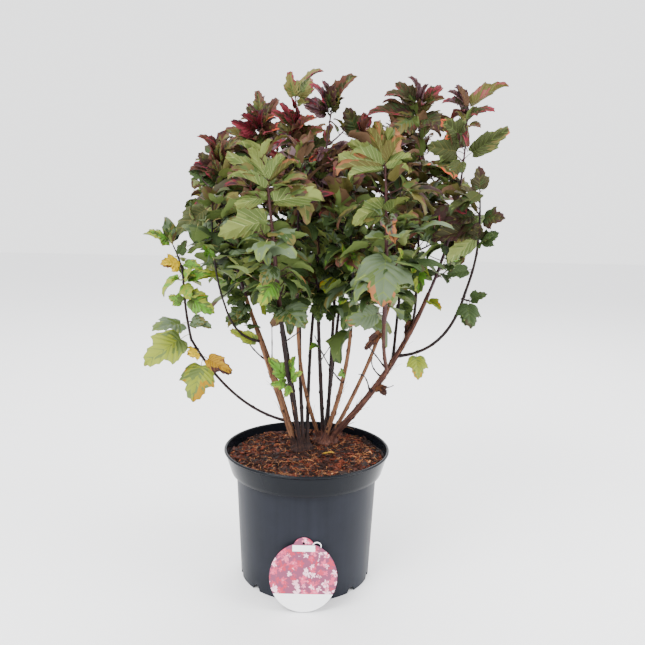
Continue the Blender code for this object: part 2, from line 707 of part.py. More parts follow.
class Growth:
    """The twigs and leaves of one mass, kept to the mass's own space and clear of every limb."""

    def __init__(self, mass, leaders, limbs):
        self.mass = mass
        self.path = leaders[mass.name][0]
        self.own = segments([self.path])
        self.others = segments([path for name, (path, _) in leaders.items() if name != mass.name])
        self.limbs = segments([path for path, _, _ in limbs.values()])
        self.bark = np.concatenate([radii[:-1] for _, radii, _ in limbs.values()]) + LIMB_MARGIN
        self.rng = np.random.default_rng(mass.seed)
        self.twigs = []
        self.leaves = []

    def free(self, points):
        """True where the points are nearer this leader than any other and touch no limb."""
        own = distances_to(self.own, points).min(axis=1)
        if (distances_to(self.others, points).min(axis=1) < own + 2 * CELL_MARGIN).any():
            return False
        return self.clear_of_limbs(points)

    def clear_of_limbs(self, points):
        """True where the points touch no limb and stay within the crown's reach."""
        if (distances_to(self.limbs, points) < self.bark).any():
            return False
        return bool((points > CROWN_LOW).all() and (points < CROWN_HIGH).all())

    def add_leaf(self, root, aim, face, length):
        """A kite from its root on a twig, if its place is free."""
        aim = unit(aim)
        side = unit(np.cross(aim, face))
        face = np.cross(side, aim)
        half_width = side * length * LEAF_WIDTH_SHARE / 2
        tip = root + aim * length
        belly = root + aim * length * LEAF_BELLY
        heart = root + aim * length * LEAF_HEART
        left = belly - half_width
        right = belly + half_width
        outline = np.array([tip, left, right, (tip + left) / 2, (tip + right) / 2,
                            (root + left) / 2, (root + right) / 2, heart, belly])
        for leaf in self.leaves:
            if np.linalg.norm(leaf["belly"] - belly) < LEAF_SPACING:
                return False
        if not self.free(outline) or not self.clear_of_limbs(blade(root, tip, left, right)):
            return False
        self.leaves.append({"root": root, "tip": tip, "left": left, "right": right,
                            "heart": heart, "belly": belly, "face": face, "aim": aim})
        return True

    def grow(self):
        """Nodes turn by the golden angle up the leader, and every third one bears a side twig."""
        for row in OUTER_LEAVES:
            if row.mass == self.mass.name:
                place = leaving_point(self.path, row.share)
                aim = np.array(row.tip) - place
                self.add_leaf(place, aim, FRONT_FACE, np.linalg.norm(aim))
        length = np.linalg.norm(self.own[1], axis=1).sum()
        count = max(4, int(length / INTERNODE))
        turn = self.rng.uniform(0, 2 * math.pi)
        first = FIRST_NODE if self.mass.along >= 1.0 else FIRST_NODE_OF_SIDE_TWIG
        ahead = unit(self.path[-1] - self.path[0])
        for node in range(count):
            share = first + (LAST_NODE - first) * node / (count - 1)
            place = leaving_point(self.path, share)
            outwards = np.array([math.cos(turn), math.sin(turn), 0.0])
            branched = length > SHORTEST_BRANCHED and node % SIDE_TWIG_EVERY == 1
            if branched and share < LAST_SIDE_TWIG:
                self.side_twig(place, ahead, outwards, share)
            else:
                self.leaf_near(place, outwards, self.droop(share), 1.0 - UPWARD_SHRINK * share)
            turn += GOLDEN_TURN + self.rng.uniform(-0.2, 0.2)
        tuft = self.path[-1] - ahead * TWIG_RADIUS
        for leaf in range(TUFT_LEAVES):
            bearing = turn + leaf * 2 * math.pi / TUFT_LEAVES
            outwards = np.array([math.cos(bearing), math.sin(bearing), 0.0])
            self.leaf_near(tuft, outwards, TUFT_RISE + leaf * TUFT_RISE_STEP, TUFT_SIZE)

    def droop(self, share):
        """The rise of a leaf for each step outwards: hanging low down, lifted near the top."""
        return LOW_DROOP + share * (TOP_RISE - LOW_DROOP) + self.rng.uniform(-0.45, 0.45)

    def side_twig(self, place, ahead, outwards, share):
        """A twig that climbs outwards, with a leaf on each side and one that ends it."""
        swell = math.sin(math.pi * (0.18 + 0.72 * share)) ** 0.7
        reach = self.mass.reach * swell * self.rng.uniform(0.5, 0.8)
        aim = unit(outwards + ahead * self.rng.uniform(0.5, 0.9))
        end = place + aim * reach
        if self.free(np.linspace(place, end, LEADER_STEPS)[1:]):
            self.twigs.append((place, end))
            sideways = np.cross(aim, UPWARDS)
            for part_way, turn in SIDE_TWIG_NODES:
                root = place + aim * reach * part_way
                self.leaf_near(root, outwards * 0.5 + sideways * turn, self.droop(share), TWIG_LEAF_SIZE)
            self.leaf_near(end - aim * TWIG_TIP_RADIUS, outwards, self.droop(share), TWIG_LEAF_SIZE)
        else:
            self.leaf_near(place, outwards, self.droop(share), TWIG_LEAF_SIZE)

    def leaf_near(self, root, outwards, rise, size):
        """Tries a leaf on its bearing, then a little to either side, then smaller."""
        heading = math.atan2(outwards[1], outwards[0])
        length = LEAF_LENGTH * size * self.rng.uniform(0.88, 1.08)
        roll = self.rng.uniform(-0.6, 0.6)
        for smaller, swing, lift in itertools.product(LEAF_SIZES, LEAF_SWINGS, LEAF_LIFTS):
            bearing = heading + swing
            aim = np.array([math.cos(bearing), math.sin(bearing), rise + lift])
            across = np.array([-math.sin(bearing), math.cos(bearing), 0.0])
            if self.add_leaf(root, aim, UPWARDS + across * roll, length * smaller):
                return


def blade(root, tip, left, right):
    """Points spread evenly over a kite, from just past its root to its tip."""
    along = np.linspace(0.10, 1.0, BLADE_ROWS)[:, None, None]
    across = np.linspace(-0.5, 0.5, BLADE_COLUMNS)[None, :, None]
    width = np.minimum(along / LEAF_BELLY, (1.0 - along) / (1.0 - LEAF_BELLY))
    middle = root + along * (tip - root)
    return (middle + across * width * (right - left)).reshape(-1, 3)


def leaf_mesh(leaf):
    """An eight-faced kite: the outline's four corners, and one point above and one below."""
    sunk = leaf["root"] - leaf["aim"] * LEAF_ROOT_SUNK
    bulge = leaf["face"] * LEAF_THICKNESS / 2
    points = np.array([sunk, leaf["right"], leaf["tip"], leaf["left"],
                       leaf["heart"] + bulge, leaf["heart"] - bulge])
    faces = []
    for corner in range(4):
        following = (corner + 1) % 4
        faces.append((corner, following, 4))
        faces.append((following, corner, 5))
    return points, faces


def make_mass(mass, leaders, limbs):
    path, radii = leaders[mass.name]
    points, faces = limb_mesh(path, radii, TWIG_SIDES, limbs[mass.limb], mass.along)
    body = add_object(mass.name, points, faces, mass.finish)
    growth = Growth(mass, leaders, limbs)
    growth.grow()
    parts = new_collection(mass.name + "_parts")
    for number, (start, end) in enumerate(growth.twigs):
        twig_rings = rings_along(np.array([start, end]), (TWIG_RADIUS, TWIG_TIP_RADIUS), TWIG_SIDES)
        twig_points, twig_faces = tube_mesh(twig_rings)
        add_object(f"{mass.name}_twig_{number}", twig_points, twig_faces, None, parts)
    for number, leaf in enumerate(growth.leaves):
        leaf_points, leaf_faces = leaf_mesh(leaf)
        obj = add_object(f"{mass.name}_leaf_{number}", leaf_points, leaf_faces, None, parts)
        outward_normals(obj)
    joined(body, parts)


def make_tag():
    """A round card with an ear, its foot on the floor and its top against the pot's wall."""
    turns = np.linspace(0.0, 2 * math.pi, TAG_SIDES, endpoint=False)
    outline = []
    for turn in turns:
        across = TAG_RADIUS * math.sin(turn)
        rise = -TAG_RADIUS * math.cos(turn)
        ear = TAG_EAR_RADIUS**2 - across**2
        if rise > 0 and ear > 0:
            rise = max(rise, TAG_EAR_RISE + math.sqrt(ear))
        outline.append((across, rise + TAG_RADIUS))
    outline = np.array(outline)
    height = outline[:, 1].max()
    lean = tag_lean(height)
    up = np.array([0.0, math.sin(lean), math.cos(lean)])
    back = np.array([0.0, math.cos(lean), -math.sin(lean)])
    foot = np.array([0.0, -TAG_FOOT_FORWARD, TAG_LIFT + TAG_THICKNESS])
    front = foot + outline[:, :1] * np.array([1.0, 0.0, 0.0]) + outline[:, 1:] * up
    points, faces = tube_mesh([front, front + back * TAG_THICKNESS])
    tag = add_object("tag", points, faces, "printed_card")
    outward_normals(tag)


def tag_lean(height):
    """The lean that brings the card's back edge to the wall, found by halving."""
    low, high = 0.0, 1.2
    for _ in range(HALVINGS):
        lean = (low + high) / 2
        back = -TAG_FOOT_FORWARD + height * math.sin(lean) + TAG_THICKNESS * math.cos(lean)
        top = height * math.cos(lean)
        if back < -wall_radius(top) - SEAT_GAP:
            low = lean
        else:
            high = lean
    return low


def main():
    remove_all_objects()
    inner = make_pot()
    make_compost(inner)
    make_tag()
    limbs = all_limbs()
    for name, centre in STOOLS.items():
        make_stool(name, centre, limbs)
    for name in limbs:
        make_limb(name, limbs)
    leaders = {mass.name: leader_path(mass, limbs) for mass in MASSES}
    for mass in MASSES:
        make_mass(mass, leaders, limbs)


main()
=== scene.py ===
"""The looks of a potted ninebark shrub: pot, compost, bark, twigs, leaves and tag.

The shrub's limbs, leaders and leaves follow the rule of the part's own source, carried on here to
finer twigs. Metres, +Z up, the origin in the middle of the pot's underside, +Y away from the front.
"""

import functools
import itertools
import math
from collections import namedtuple

import bpy
import numpy as np
from mathutils import Euler, Matrix, Vector
from numpy.random import default_rng


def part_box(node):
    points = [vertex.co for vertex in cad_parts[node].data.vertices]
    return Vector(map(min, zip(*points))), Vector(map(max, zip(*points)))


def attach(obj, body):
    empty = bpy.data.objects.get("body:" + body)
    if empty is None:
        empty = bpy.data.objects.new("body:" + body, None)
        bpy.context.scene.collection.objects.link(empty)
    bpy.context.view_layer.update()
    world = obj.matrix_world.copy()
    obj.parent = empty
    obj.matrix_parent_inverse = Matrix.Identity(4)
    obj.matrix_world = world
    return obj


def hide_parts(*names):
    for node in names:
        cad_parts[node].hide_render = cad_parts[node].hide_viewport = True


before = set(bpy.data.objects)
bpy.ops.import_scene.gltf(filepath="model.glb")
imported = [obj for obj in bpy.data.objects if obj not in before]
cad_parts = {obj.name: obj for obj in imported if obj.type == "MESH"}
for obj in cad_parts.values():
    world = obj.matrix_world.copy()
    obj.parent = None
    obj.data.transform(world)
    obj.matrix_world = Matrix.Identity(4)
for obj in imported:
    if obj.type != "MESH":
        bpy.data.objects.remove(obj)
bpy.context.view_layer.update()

bl_info = {
    "name": "Potted ninebark shrub",
    "version": (1, 0, 0),
    "blender": (4, 5, 0),
    "location": "3D View > Sidebar > Shrub",
    "description": "Builds the pot, compost, bark, twigs, leaves and tag of a potted ninebark shrub",
    "category": "Object",
}

# The pot, from its solid and from the source's sizes
POT_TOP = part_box("pot")[1]
POT_HEIGHT = POT_TOP.z
POT_LIP_RADIUS = POT_TOP.x
POT_LIP_HEIGHT = 0.0045
BAND_FOOT = POT_HEIGHT - 0.0385
BAND_EDGE = 0.0012
POT_BAND_FOOT_RADIUS = 0.1262
POT_BODY_TOP_RADIUS = 0.1178
POT_FOOT_RADIUS = 0.1095
POT_WALL = 0.0020
POT_FLOOR = 0.0030
LIP_OVERHANG = 0.0022
FOOT_CHANNEL_INNER = 0.0900
FOOT_CHANNEL_HEIGHT = 0.0100
NOTCH_COUNT = 12
NOTCH_WIDTH = 0.0150
NOTCH_HEIGHT = 0.0080
NOTCHED_BELOW = 0.0104
POT_COLUMNS = 360
GAP = 0.0003

# The compost
COMPOST_LEVEL = 0.2120
COMPOST_EDGE_DROP = 0.0060
COMPOST_FLAT_RADIUS = 0.0850
COMPOST_DROP_RADIUS = 0.1300
COMPOST_RADIUS = 0.1312
COMPOST_ROWS = 70
COMPOST_COLUMNS = 220
CHIP_COUNT = 3000
CHIP_REACH = 0.1295
LOOSE_RADIUS = 0.1290
FIBRE_SPREAD = 0.1180
FIBRE_COUNT = 640

# A leaf that lies on the compost: its root, its tip and the way its upper side looks
FALLEN_LEAF = ((0.022, -0.032, 0.2170), (0.050, -0.030, 0.2165), (0.0, 0.0, 1.0))

# The shrub, as in the part's source
STOOL_HEIGHT = 0.0130
STOOL_RADIUS = 0.0205
STOOL_LOBES = {"left_stool": 3, "right_stool": 4}
LOBE_SWELL = 0.10
STUB_RISE = 0.0090
LIMB_STEPS = 6
LEADER_STEPS = 6
LEADER_RADIUS = 0.0026
LEADER_BEND = 0.45
INTERNODE = 0.0160
SIDE_TWIG_EVERY = 3
LAST_SIDE_TWIG = 0.85
SHORTEST_BRANCHED = 0.10
SIDE_TWIG_NODES = ((0.55, 1.0), (0.80, -1.0))
FIRST_NODE = 0.04
FIRST_NODE_OF_SIDE_TWIG = 0.28
LAST_NODE = 0.96
LEAF_LENGTH = 0.0780
LEAF_WIDTH_SHARE = 0.74
LEAF_BELLY = 0.60
LEAF_HEART = 0.38
LEAF_SIZES = (1.0, 0.86, 0.74)
LEAF_SWINGS = (0.0, 0.4, -0.4, 0.8, -0.8)
LEAF_LIFTS = (0.0, -0.6, 0.6)
LOW_DROOP = -0.75
TOP_RISE = 0.35
UPWARD_SHRINK = 0.20
TWIG_LEAF_SIZE = 0.94
TUFT_LEAVES = 3
TUFT_SIZE = 0.66
TUFT_RISE = 0.80
TUFT_RISE_STEP = 0.50
UPWARDS = np.array([0.0, 0.0, 1.0])
FRONT_FACE = np.array([0.0, -0.8, 0.6])
TWIG_RADIUS = 0.0015
TWIG_TIP_RADIUS = 0.0012
GOLDEN_TURN = math.radians(137.5)
CELL_MARGIN = 0.0020
LIMB_MARGIN = 0.0015
LEAF_SPACING = 0.0190
CROWN_LOW = np.array([-0.265, -0.220, COMPOST_LEVEL + 0.010])
CROWN_HIGH = np.array([0.315, 0.270, 0.833])
BLADE_ROWS = 16
BLADE_COLUMNS = 11

# Finer growth, which only this script makes
BARK_SIDES = 24
BARK_RING_SPACING = 0.0025
LOOSE_BARK_STEPS = 200
FINE_LEADER_STEPS = 60
FOOT_SUNK = 0.0030
FINE_SPACING = 0.0120
FINE_LEAF_LENGTH = 0.0440
FINE_TWIG_REACH = 0.0240
FINE_TWIG_NODES = ((0.34, -1.0), (0.68, 1.0))
YOUNG_LEAF_LENGTH = 0.0300
YOUNG_LEAVES = 5
STALK_SHARE = 0.20
FAN_STALK_SHARE = 0.07
STALK_RADIUS = 0.00060
BUD_SIZE = 0.0024
TWIG_COLOURS = ("purple_twig", "red_twig", "dark", "green_stalk")
DETAILED_LEAVES = 215
CROWN_MIDDLE = np.array([0.030, 0.020, 0.560])
SLENDER_LEAF_LENGTH = 0.0440
CROWDED_LEAVES = 32
CROWDED_FROM = 0.62
CROWDED_REACH = (0.55, 0.98)
THICKET_TWIGS = 11
THICKET_REACH = (0.03, 0.88)
THICKET_NODES = ((0.50, 1.0), (0.75, -1.0), (1.0, 0.0))
BACK_FROM = 0.060
LEAFLESS_BEYOND = 0.004
SHOWN_TILT = 0.26
# Room kept in front of a shown leaf and of a front leader, in the photograph's pixels
SHOWN_LEAF_ROOM = 12.5
LEADER_ROOM = 7.0
THICK_LEADERS = ("front_left_leader", "front_right_leader")

# The tag, as in the part's source
TAG_RADIUS = 0.0530
TAG_THICKNESS = 0.0008
TAG_FOOT_FORWARD = 0.1415
TAG_LIFT = 0.0006
TAG_EAR_RADIUS = 0.0170
TAG_EAR_RISE = 0.0440
TAG_HOLE_RADIUS = 0.0021
TAG_BAND_HEIGHT = 0.0280
TAG_STRIP = (0.0915, 0.1010, 0.0180)
TAG_HOLE_RISE = 0.0080
TAG_COLUMNS = 200
TAG_LOOP_CENTRE = (0.0202, -0.1172, 0.0985)
TAG_LOOP_RADIUS = 0.0068


def table(rows, end="\n"):
    """Each row's words, the numbers among them as whole numbers."""
    return [[int(word) if word.lstrip("-").isdigit() else word for word in row.split()]
            for row in rows.strip().split(end)]


# The photograph's view: a frame of 645 pixels, its focal length in pixels, and the camera's place
FRAME_PIXELS = 645.0
FOCAL_PIXELS = 735.69
SENSOR_WIDTH = 36.0
CAMERA_PLACE = (0.0223, -1.1873, 0.6445)
CAMERA_PITCH = math.radians(10.087)
CAMERA_ROLL = math.radians(1.129)

# The crown in the photograph, in its pixels: across and its top; down, its left side and its right;
# and places where the sky shows, each across, down and radius
CROWN_TOP = table("""
188 166, 200 139, 214 137, 226 121, 240 113, 254 103, 276 102, 292 104, 299 122, 326 124, 336 112, 346 122,
362 108, 372 104, 384 100, 400 96, 424 94, 440 102, 470 102, 490 116
""", ",")
CROWN_SIDES = table("""
90 236 480, 120 232 476, 140 204 468, 158 195 456, 175 190 462, 195 185 478, 230 181 484, 255 190 472,
275 198 452, 300 206 436, 330 212 412, 350 222 396, 375 236 372
""", ",")
OPEN_PLACES = table("""
312 117 9, 340 136 7, 377 119 6, 402 134 7, 434 128 6, 432 158 8, 450 160 8, 446 118 4, 376 199 5, 471 219 5,
424 250 8, 436 266 8, 432 290 9, 442 302 12, 424 320 14, 460 290 12, 215 291 6, 250 330 7, 268 336 8,
334 332 7, 352 342 7, 147 288 7, 297 348 7
""", ",")
SHOWN_ONLY = ("low_left_leaves", "low_right_leaves", "low_front_leaves")
SIDE_MASSES = ("far_left_leaves", "low_left_leaves", "low_right_leaves", "low_front_leaves")

# A limb: its holder is a stool, with the place on it, or another limb, with the share of its length,
# where 1 carries on from the tip; then a point half way, the tip, the radii at both ends and the bark
Limb = namedtuple("Limb", "name holder place middle tip foot_radius tip_radius bark")

# A mass of foliage: its limb, the share along it, its top, its side reach, its seed and its kind of leaves
Mass = namedtuple("Mass", "name limb along top reach seed leaves")

# A leaf that stands out: what it grows on, the share along it, its tip, tint, width and facing
ShownLeaf = namedtuple("ShownLeaf", "holder share tip tint wide facing", defaults=["front"])
STOOLS = {"left_stool": (-0.010, 0.008), "right_stool": (0.031, 0.048)}


def limb_rows(rows):
    """Limbs from lines of the name, the holder and the place on it in tenths of a millimetre or in
    percent, a point half way and the tip in millimetres, the radii in tenths of one, and the bark."""
    limbs = []
    for name, holder, *numbers, bark in table(rows):
        place = numbers[0] / 100 if len(numbers) == 9 else tuple(part / 10000 for part in numbers[:2])
        middle, tip = (tuple(part / 1000 for part in numbers[k:k + 3]) for k in (-8, -5))
        limbs.append(Limb(name, holder, place, middle, tip, numbers[-2] / 10000, numbers[-1] / 10000, bark))
    return limbs


LIMBS = limb_rows("""
tan_left_stem left_stool -130 0  -67 0 362  -105 14 472  40 30 tan_bark
dark_front_stem left_stool -10 -130  -34 -28 365  -43 -74 462  37 30 dark_bark
back_left_stem left_stool -35 70  -34 34 360  -58 75 465  34 27 dark_bark
far_back_left_stem left_stool -110 105  -72 70 360  -122 128 460  33 26 tan_bark
upright_left_stem left_stool 35 30  -15 46 350  -17 68 455  33 27 dark_bark
back_stem left_stool 100 90  1 80 350  8 135 460  33 26 dark_bark
crossing_stem right_stool -115 -10  -9 16 335  -18 -12 440  34 26 tan_bark
upright_right_stem right_stool -35 -50  20 35 345  14 30 455  37 29 dark_bark
inner_right_stem right_stool 35 30  38 56 350  42 78 455  33 26 dark_bark
tan_right_stem right_stool 0 -135  58 4 335  68 -20 425  42 30 tan_bark
main_right_limb right_stool 110 -60  130 -6 356  194 0 485  60 32 red_bark
far_back_right_stem right_stool 125 60  108 100 350  150 160 460  36 28 tan_bark
back_right_stem right_stool 0 130  44 115 350  56 175 460  34 26 dark_bark
low_left_bough tan_left_stem 11  -119 -10 311  -189 -22 405  24 21 dark_bark
far_left_shoot low_left_bough 100  -196 -28 455  -199 -30 500  21 18 dark_bark
left_side_bough tan_left_stem 66  -112 -22 420  -132 -36 462  20 16 dark_bark
front_right_bough main_right_limb 50  119 -58 405  116 -85 452  31 26 red_bark
inner_fork_bough main_right_limb 56  146 34 410  154 70 470  27 23 dark_bark
upper_fork_bough main_right_limb 70  174 28 435  180 48 480  25 22 dark_bark
far_right_bough main_right_limb 60  208 -30 414  246 -32 488  26 22 dark_bark
far_right_shoot far_right_bough 100  258 -31 530  263 -30 565  22 19 dark_bark
""")

# Each mass's name and limb, the share along it in percent, its top and its reach in millimetres, its
# seed and the kind of its leaves
MASSES = tuple(
    Mass(name, limb, along / 100, (x / 1000, y / 1000, z / 1000), reach / 1000, seed, leaves)
    for name, limb, along, x, y, z, reach, seed, leaves in table("""
far_left_leaves far_left_shoot 100  -216 -30 560  50 11 green_leaves
low_left_leaves low_left_bough 93  -216 -38 398  46 12 pale_leaves
left_side_leaves left_side_bough 100  -150 -45 620  62 13 green_leaves
left_crown tan_left_stem 100  -155 40 715  70 14 bronze_leaves
back_left_crown back_left_stem 100  -88 80 755  70 15 bronze_leaves
far_back_left_crown far_back_left_stem 100  -150 155 700  72 16 bronze_leaves
front_left_leader dark_front_stem 100  -62 -138 690  66 17 pale_leaves
front_middle_leaves crossing_stem 100  -15 -60 690  64 18 bronze_leaves
top_left_leader upright_left_stem 100  -28 30 790  64 19 bronze_leaves
back_crown back_stem 100  2 150 735  70 20 green_leaves
top_middle_leader upright_right_stem 100  34 5 800  62 21 bronze_leaves
inner_right_crown inner_right_stem 100  82 80 740  68 22 bronze_leaves
front_crown tan_right_stem 100  52 -85 650  62 23 green_leaves
front_right_leader front_right_bough 100  106 -120 700  66 24 pale_leaves
right_crown inner_fork_bough 100  138 98 745  68 25 bronze_leaves
top_right_leader upper_fork_bough 100  170 36 795  66 26 bronze_leaves
far_top_right_leader main_right_limb 100  244 12 790  66 27 bronze_leaves
far_right_leaves far_right_shoot 100  260 -34 660  52 28 green_leaves
low_right_leaves far_right_bough 96  262 -46 478  40 29 green_leaves
far_back_right_crown far_back_right_stem 100  196 172 690  72 30 bronze_leaves
back_right_crown back_right_stem 100  66 200 705  70 31 green_leaves
low_front_leaves dark_front_stem 38  -34 -78 345  44 32 green_leaves
"""))


def shown_leaves(text):
    """Groups of a holder and its leaves, each told by the share along it in percent, the tip in
    millimetres, the tint, and where they aren't the usual ones the width in percent and the facing."""
    leaves = []
    for group in text.split(";"):
        holder, rows = group.split(":")
        for row in rows.split(","):
            share, x, y, z, tint, *rest = row.split()
            tip = (int(x) / 1000, int(y) / 1000, int(z) / 1000)
            wide = int(rest[0]) / 100 if rest else 1.0
            leaves.append(ShownLeaf(holder.strip(), int(share) / 100, tip, tint, wide, *rest[1:]))
    return leaves


# Leaves that shape the crown's outline
OUTER_LEAVES = shown_leaves("""
far_left_leaves: 50 -228 -64 530 yellow, 96 -248 -62 578 fresh;
front_right_leader: 50 105 -164 486 scorched 135, 93 57 -160 694 fan 55 back, 96 107 -158 730 fan 55 back,
94 135 -166 692 fan 55 back;
low_right_leaves: 30 250 -76 441 deep, 40 276 -62 494 deep 80;
far_right_leaves: 2 290 -55 588 deep, 46 294 -72 610 dark_olive, 83 256 -40 688 dark_olive;
far_top_right_leader: 73 312 20 748 orange_tipped 45, 97 297 -26 806 rosy 55 back,
95 218 -10 805 purple 50 up;
inner_right_crown: 96 96 40 765 bronze;
top_right_leader: 97 148 20 824 purple 60, 97 208 56 814 crimson_edged 60;
top_left_leader: 98 -6 66 826 olive_tipped 80, 98 -36 36 832 olive_tipped 70;
top_middle_leader: 91 68 -32 816 olive 75, 91 -6 -26 804 mauve 85, 96 14 -12 812 mauve 60;
left_crown: 76 -200 26 672 deep, 97 -182 6 726 bronze 60;
front_left_leader: 66 -128 -142 580 fan 100 back, 76 18 -186 632 fan 68 back, 89 -110 -172 692 fan 55 back,
87 -34 -174 688 fan 55 back""")

# More leaves that stand out, on leaders and on the limbs themselves
MORE_LEAVES = shown_leaves("""
far_left_leaves: 2 -214 -52 500 fresh 70 up, 50 -168 -30 517 fresh 75, 62 -193 -30 566 deep 80,
0 -177 -41 509 turning 70, 0 -155 -30 513 fresh 60, 0 -137 -18 501 turning 60, 33 -222 -51 533 yellow 110,
2 -181 -54 521 lime 110, 0 -187 -39 472 lime 120;
front_left_leader: 5 -3 -129 446 grey 140, 29 -70 -120 477 fresh, 87 -99 -172 705 fan 45 back,
87 -80 -174 698 fan 40 back, 87 -15 -167 681 fan_tipped 45 back, 83 -110 -169 658 fan 50 back,
80 -99 -167 623 fan 60 back, 39 -65 -143 510 grey 110;
far_top_right_leader: 82 201 2 759 orange_tipped 110, 76 182 11 720 mossy, 13 217 -35 505 deep 95,
74 219 -5 663 mossy 80, 73 195 34 686 olive 70, 94 279 -26 769 crimson_edged 90, 98 210 8 801 purple 60,
97 203 12 784 mauve 60, 98 223 9 812 purple 55, 92 267 -23 769 dark_olive 70, 89 261 -16 746 olive 80;
top_right_leader: 97 113 22 794 crimson_edged 60, 92 88 43 765 crimson_edged 35, 20 181 33 479 fresh 70,
69 220 -30 668 orange_edged, 93 120 24 734 olive 90, 93 207 4 740 dark_olive 90,
96 130 34 817 crimson_edged 80, 96 181 7 813 purple 60, 48 216 10 643 grey 70, 96 208 15 792 olive 60,
97 119 38 797 olive 60, 91 141 44 734 olive 80, 81 197 24 754 olive 60 back, 65 209 30 692 olive 70,
92 127 38 771 dark_olive 90, 92 190 8 783 dark_olive 90;
top_left_leader: 100 17 -6 826 olive_tipped 70, 86 7 10 758 flame 65, 97 -3 13 783 olive 60,
95 -35 22 791 crimson 30, 87 -54 36 783 crimson 50, 88 -67 40 769 crimson_edged 60, 88 -27 25 778 crimson 45,
82 20 27 740 rosy 70, 77 34 49 723 mossy 80, 50 -42 48 587 grey 90, 83 -15 26 763 bronze 80,
82 -58 49 751 olive 90;
top_middle_leader: 91 -16 31 783 mauve 50, 90 -14 -25 775 purple 40, 90 35 -32 803 dark_olive,
76 -4 -1 690 flame 70, 77 10 -5 690 purple 70, 58 -8 -4 668 mauve 70, 9 28 -1 451 deep, 91 31 -24 794 olive,
90 50 -13 787 olive 80, 89 9 -17 777 dark_olive 80, 3 15 9 432 green 110, 24 14 -8 501 green 110;
left_side_leaves: 100 -203 -54 575 mossy 80, 65 -174 -110 555 deep, 49 -161 -68 569 fresh 42;
front_right_leader: 93 39 -163 666 fan_tipped 50 back, 6 56 -95 452 scorched 90, 69 138 -157 638 fan 95 back,
73 61 -156 601 fan 100 back, 69 121 -165 575 dying 45, 94 42 -163 686 fan 55 back,
94 55 -154 711 fan 55 back, 95 76 -162 726 fan_tipped 50 back, 95 93 -168 737 fan_tipped 50 back,
95 123 -78 739 fan_tipped 50 back, 94 130 -168 715 fan_tipped 55 back, 92 56 -152 661 fan 60 back,
92 135 -164 670 fan 60 back, 41 139 -132 513 fan 110 back;
low_left_bough: 86 -184 -42 306 turning 115, 87 -124 -21 349 ochre 75, 90 -192 -47 385 yellow 150;
far_right_bough: 22 176 -50 352 turning;
main_right_limb: 40 128 -26 318 dead, 96 210 -31 461 turning 70;
far_left_shoot: 73 -150 -29 450 fresh 95, 73 -162 -32 478 turning 80, 29 -154 -36 426 grey 75,
26 -241 -71 427 light 125, 8 -259 -53 367 turning 110, 29 -162 -39 437 grey 120, 59 -223 -33 477 fresh 120;
tan_left_stem: 100 -129 -29 462 green 95, 96 -115 -23 440 grey 80, 82 -130 -21 425 grey 50,
64 -128 -12 420 turning 50, 90 -124 0 425 green 120, 78 -94 -30 424 deep 120, 89 -137 -1 431 green 120;
front_middle_leaves: 12 -68 -26 453 deep 90, 18 -8 -51 449 deep 120;
tan_right_stem: 59 48 -25 350 fresh 90;
front_right_bough: 85 88 -83 407 dead 45;
upper_fork_bough: 55 164 19 406 dead 45;
far_right_leaves: 18 215 -45 539 fan 100 back, 30 190 -30 572 dark_olive 70, 52 202 -31 595 dark_olive 80,
71 227 -42 654 dark_olive 80, 3 256 -56 603 dark_olive, 0 277 -76 584 deep;
far_right_shoot: 47 216 -31 516 deep 80;
back_left_crown: 95 -135 61 756 crimson 60, 96 -119 57 765 crimson 60, 97 -99 49 768 crimson_edged 60,
97 -78 50 776 crimson 55, 96 -60 57 765 flame 60, 94 -44 59 745 flame 60, 99 -97 101 808 olive 45,
97 -111 82 786 dark_bronze 40, 99 -83 105 800 bronze 45, 98 -61 107 796 bronze 50, 90 -49 88 758 olive 50,
89 -150 80 739 olive 70, 91 -125 80 737 crimson_edged 70, 96 -111 74 781 dark_olive 80,
97 -72 78 786 dark_olive 80, 88 -84 65 746 olive 90;
left_crown: 89 -172 9 724 bronze 50, 89 -142 8 722 olive 50, 86 -191 23 683 dark_bronze 60,
82 -198 27 673 bronze 60, 80 -184 31 702 dark_olive 80, 79 -171 16 672 crimson_edged 80,
77 -162 36 707 olive 60, 91 -117 39 727 olive 80, 88 -145 16 719 bronze 80, 6 -126 0 458 green 130;
low_front_leaves: 0 -65 -21 377 fresh 80, 0 -61 -34 337 fresh 80, 0 -8 -35 358 fresh 80,
25 -36 -61 322 fresh 80, 0 -20 -21 381 fresh 70;
upright_right_stem: 70 1 13 384 fresh 80;
inner_right_crown: 97 54 77 783 dark_olive 125, 95 72 60 758 mauve 90, 94 122 82 746 mauve 80,
100 85 55 771 crimson 50;
low_right_leaves: 57 243 -67 444 deep 120;
dark_front_stem: 99 -60 -102 479 deep 110;
inner_right_stem: 100 35 48 426 deep 120;
front_crown: 19 93 -59 446 scorched 110;
inner_fork_bough: 96 172 56 424 green 90""")

# Strips of loose bark: the limb, how many, and how far up it they reach in percent
LOOSE_BARK = table("""
main_right_limb 46 75
tan_left_stem 16 50
tan_right_stem 14 50
crossing_stem 10 30
dark_front_stem 6 20
""")

# Bare twigs on the limbs: the limb, the share along it in percent and the twig's tip in millimetres
BARE_TWIGS = table("""
main_right_limb 33 83 -20 352
main_right_limb 45 103 -40 385
main_right_limb 42 140 -22 335
main_right_limb 50 92 -30 405
tan_left_stem 42 -60 -10 430
tan_left_stem 52 -108 -16 420
tan_right_stem 48 10 -20 415
upright_right_stem 55 35 10 390
dark_front_stem 70 -12 -60 430
""")


def heading(turn):
    """The level direction at a turn."""
    return np.array([math.cos(turn), math.sin(turn), 0.0])


def ring(count):
    """Turns spread evenly round a circle."""
    return np.arange(count) * math.tau / count


def unit(vector):
    vector = np.asarray(vector, float)
    return vector / np.linalg.norm(vector)


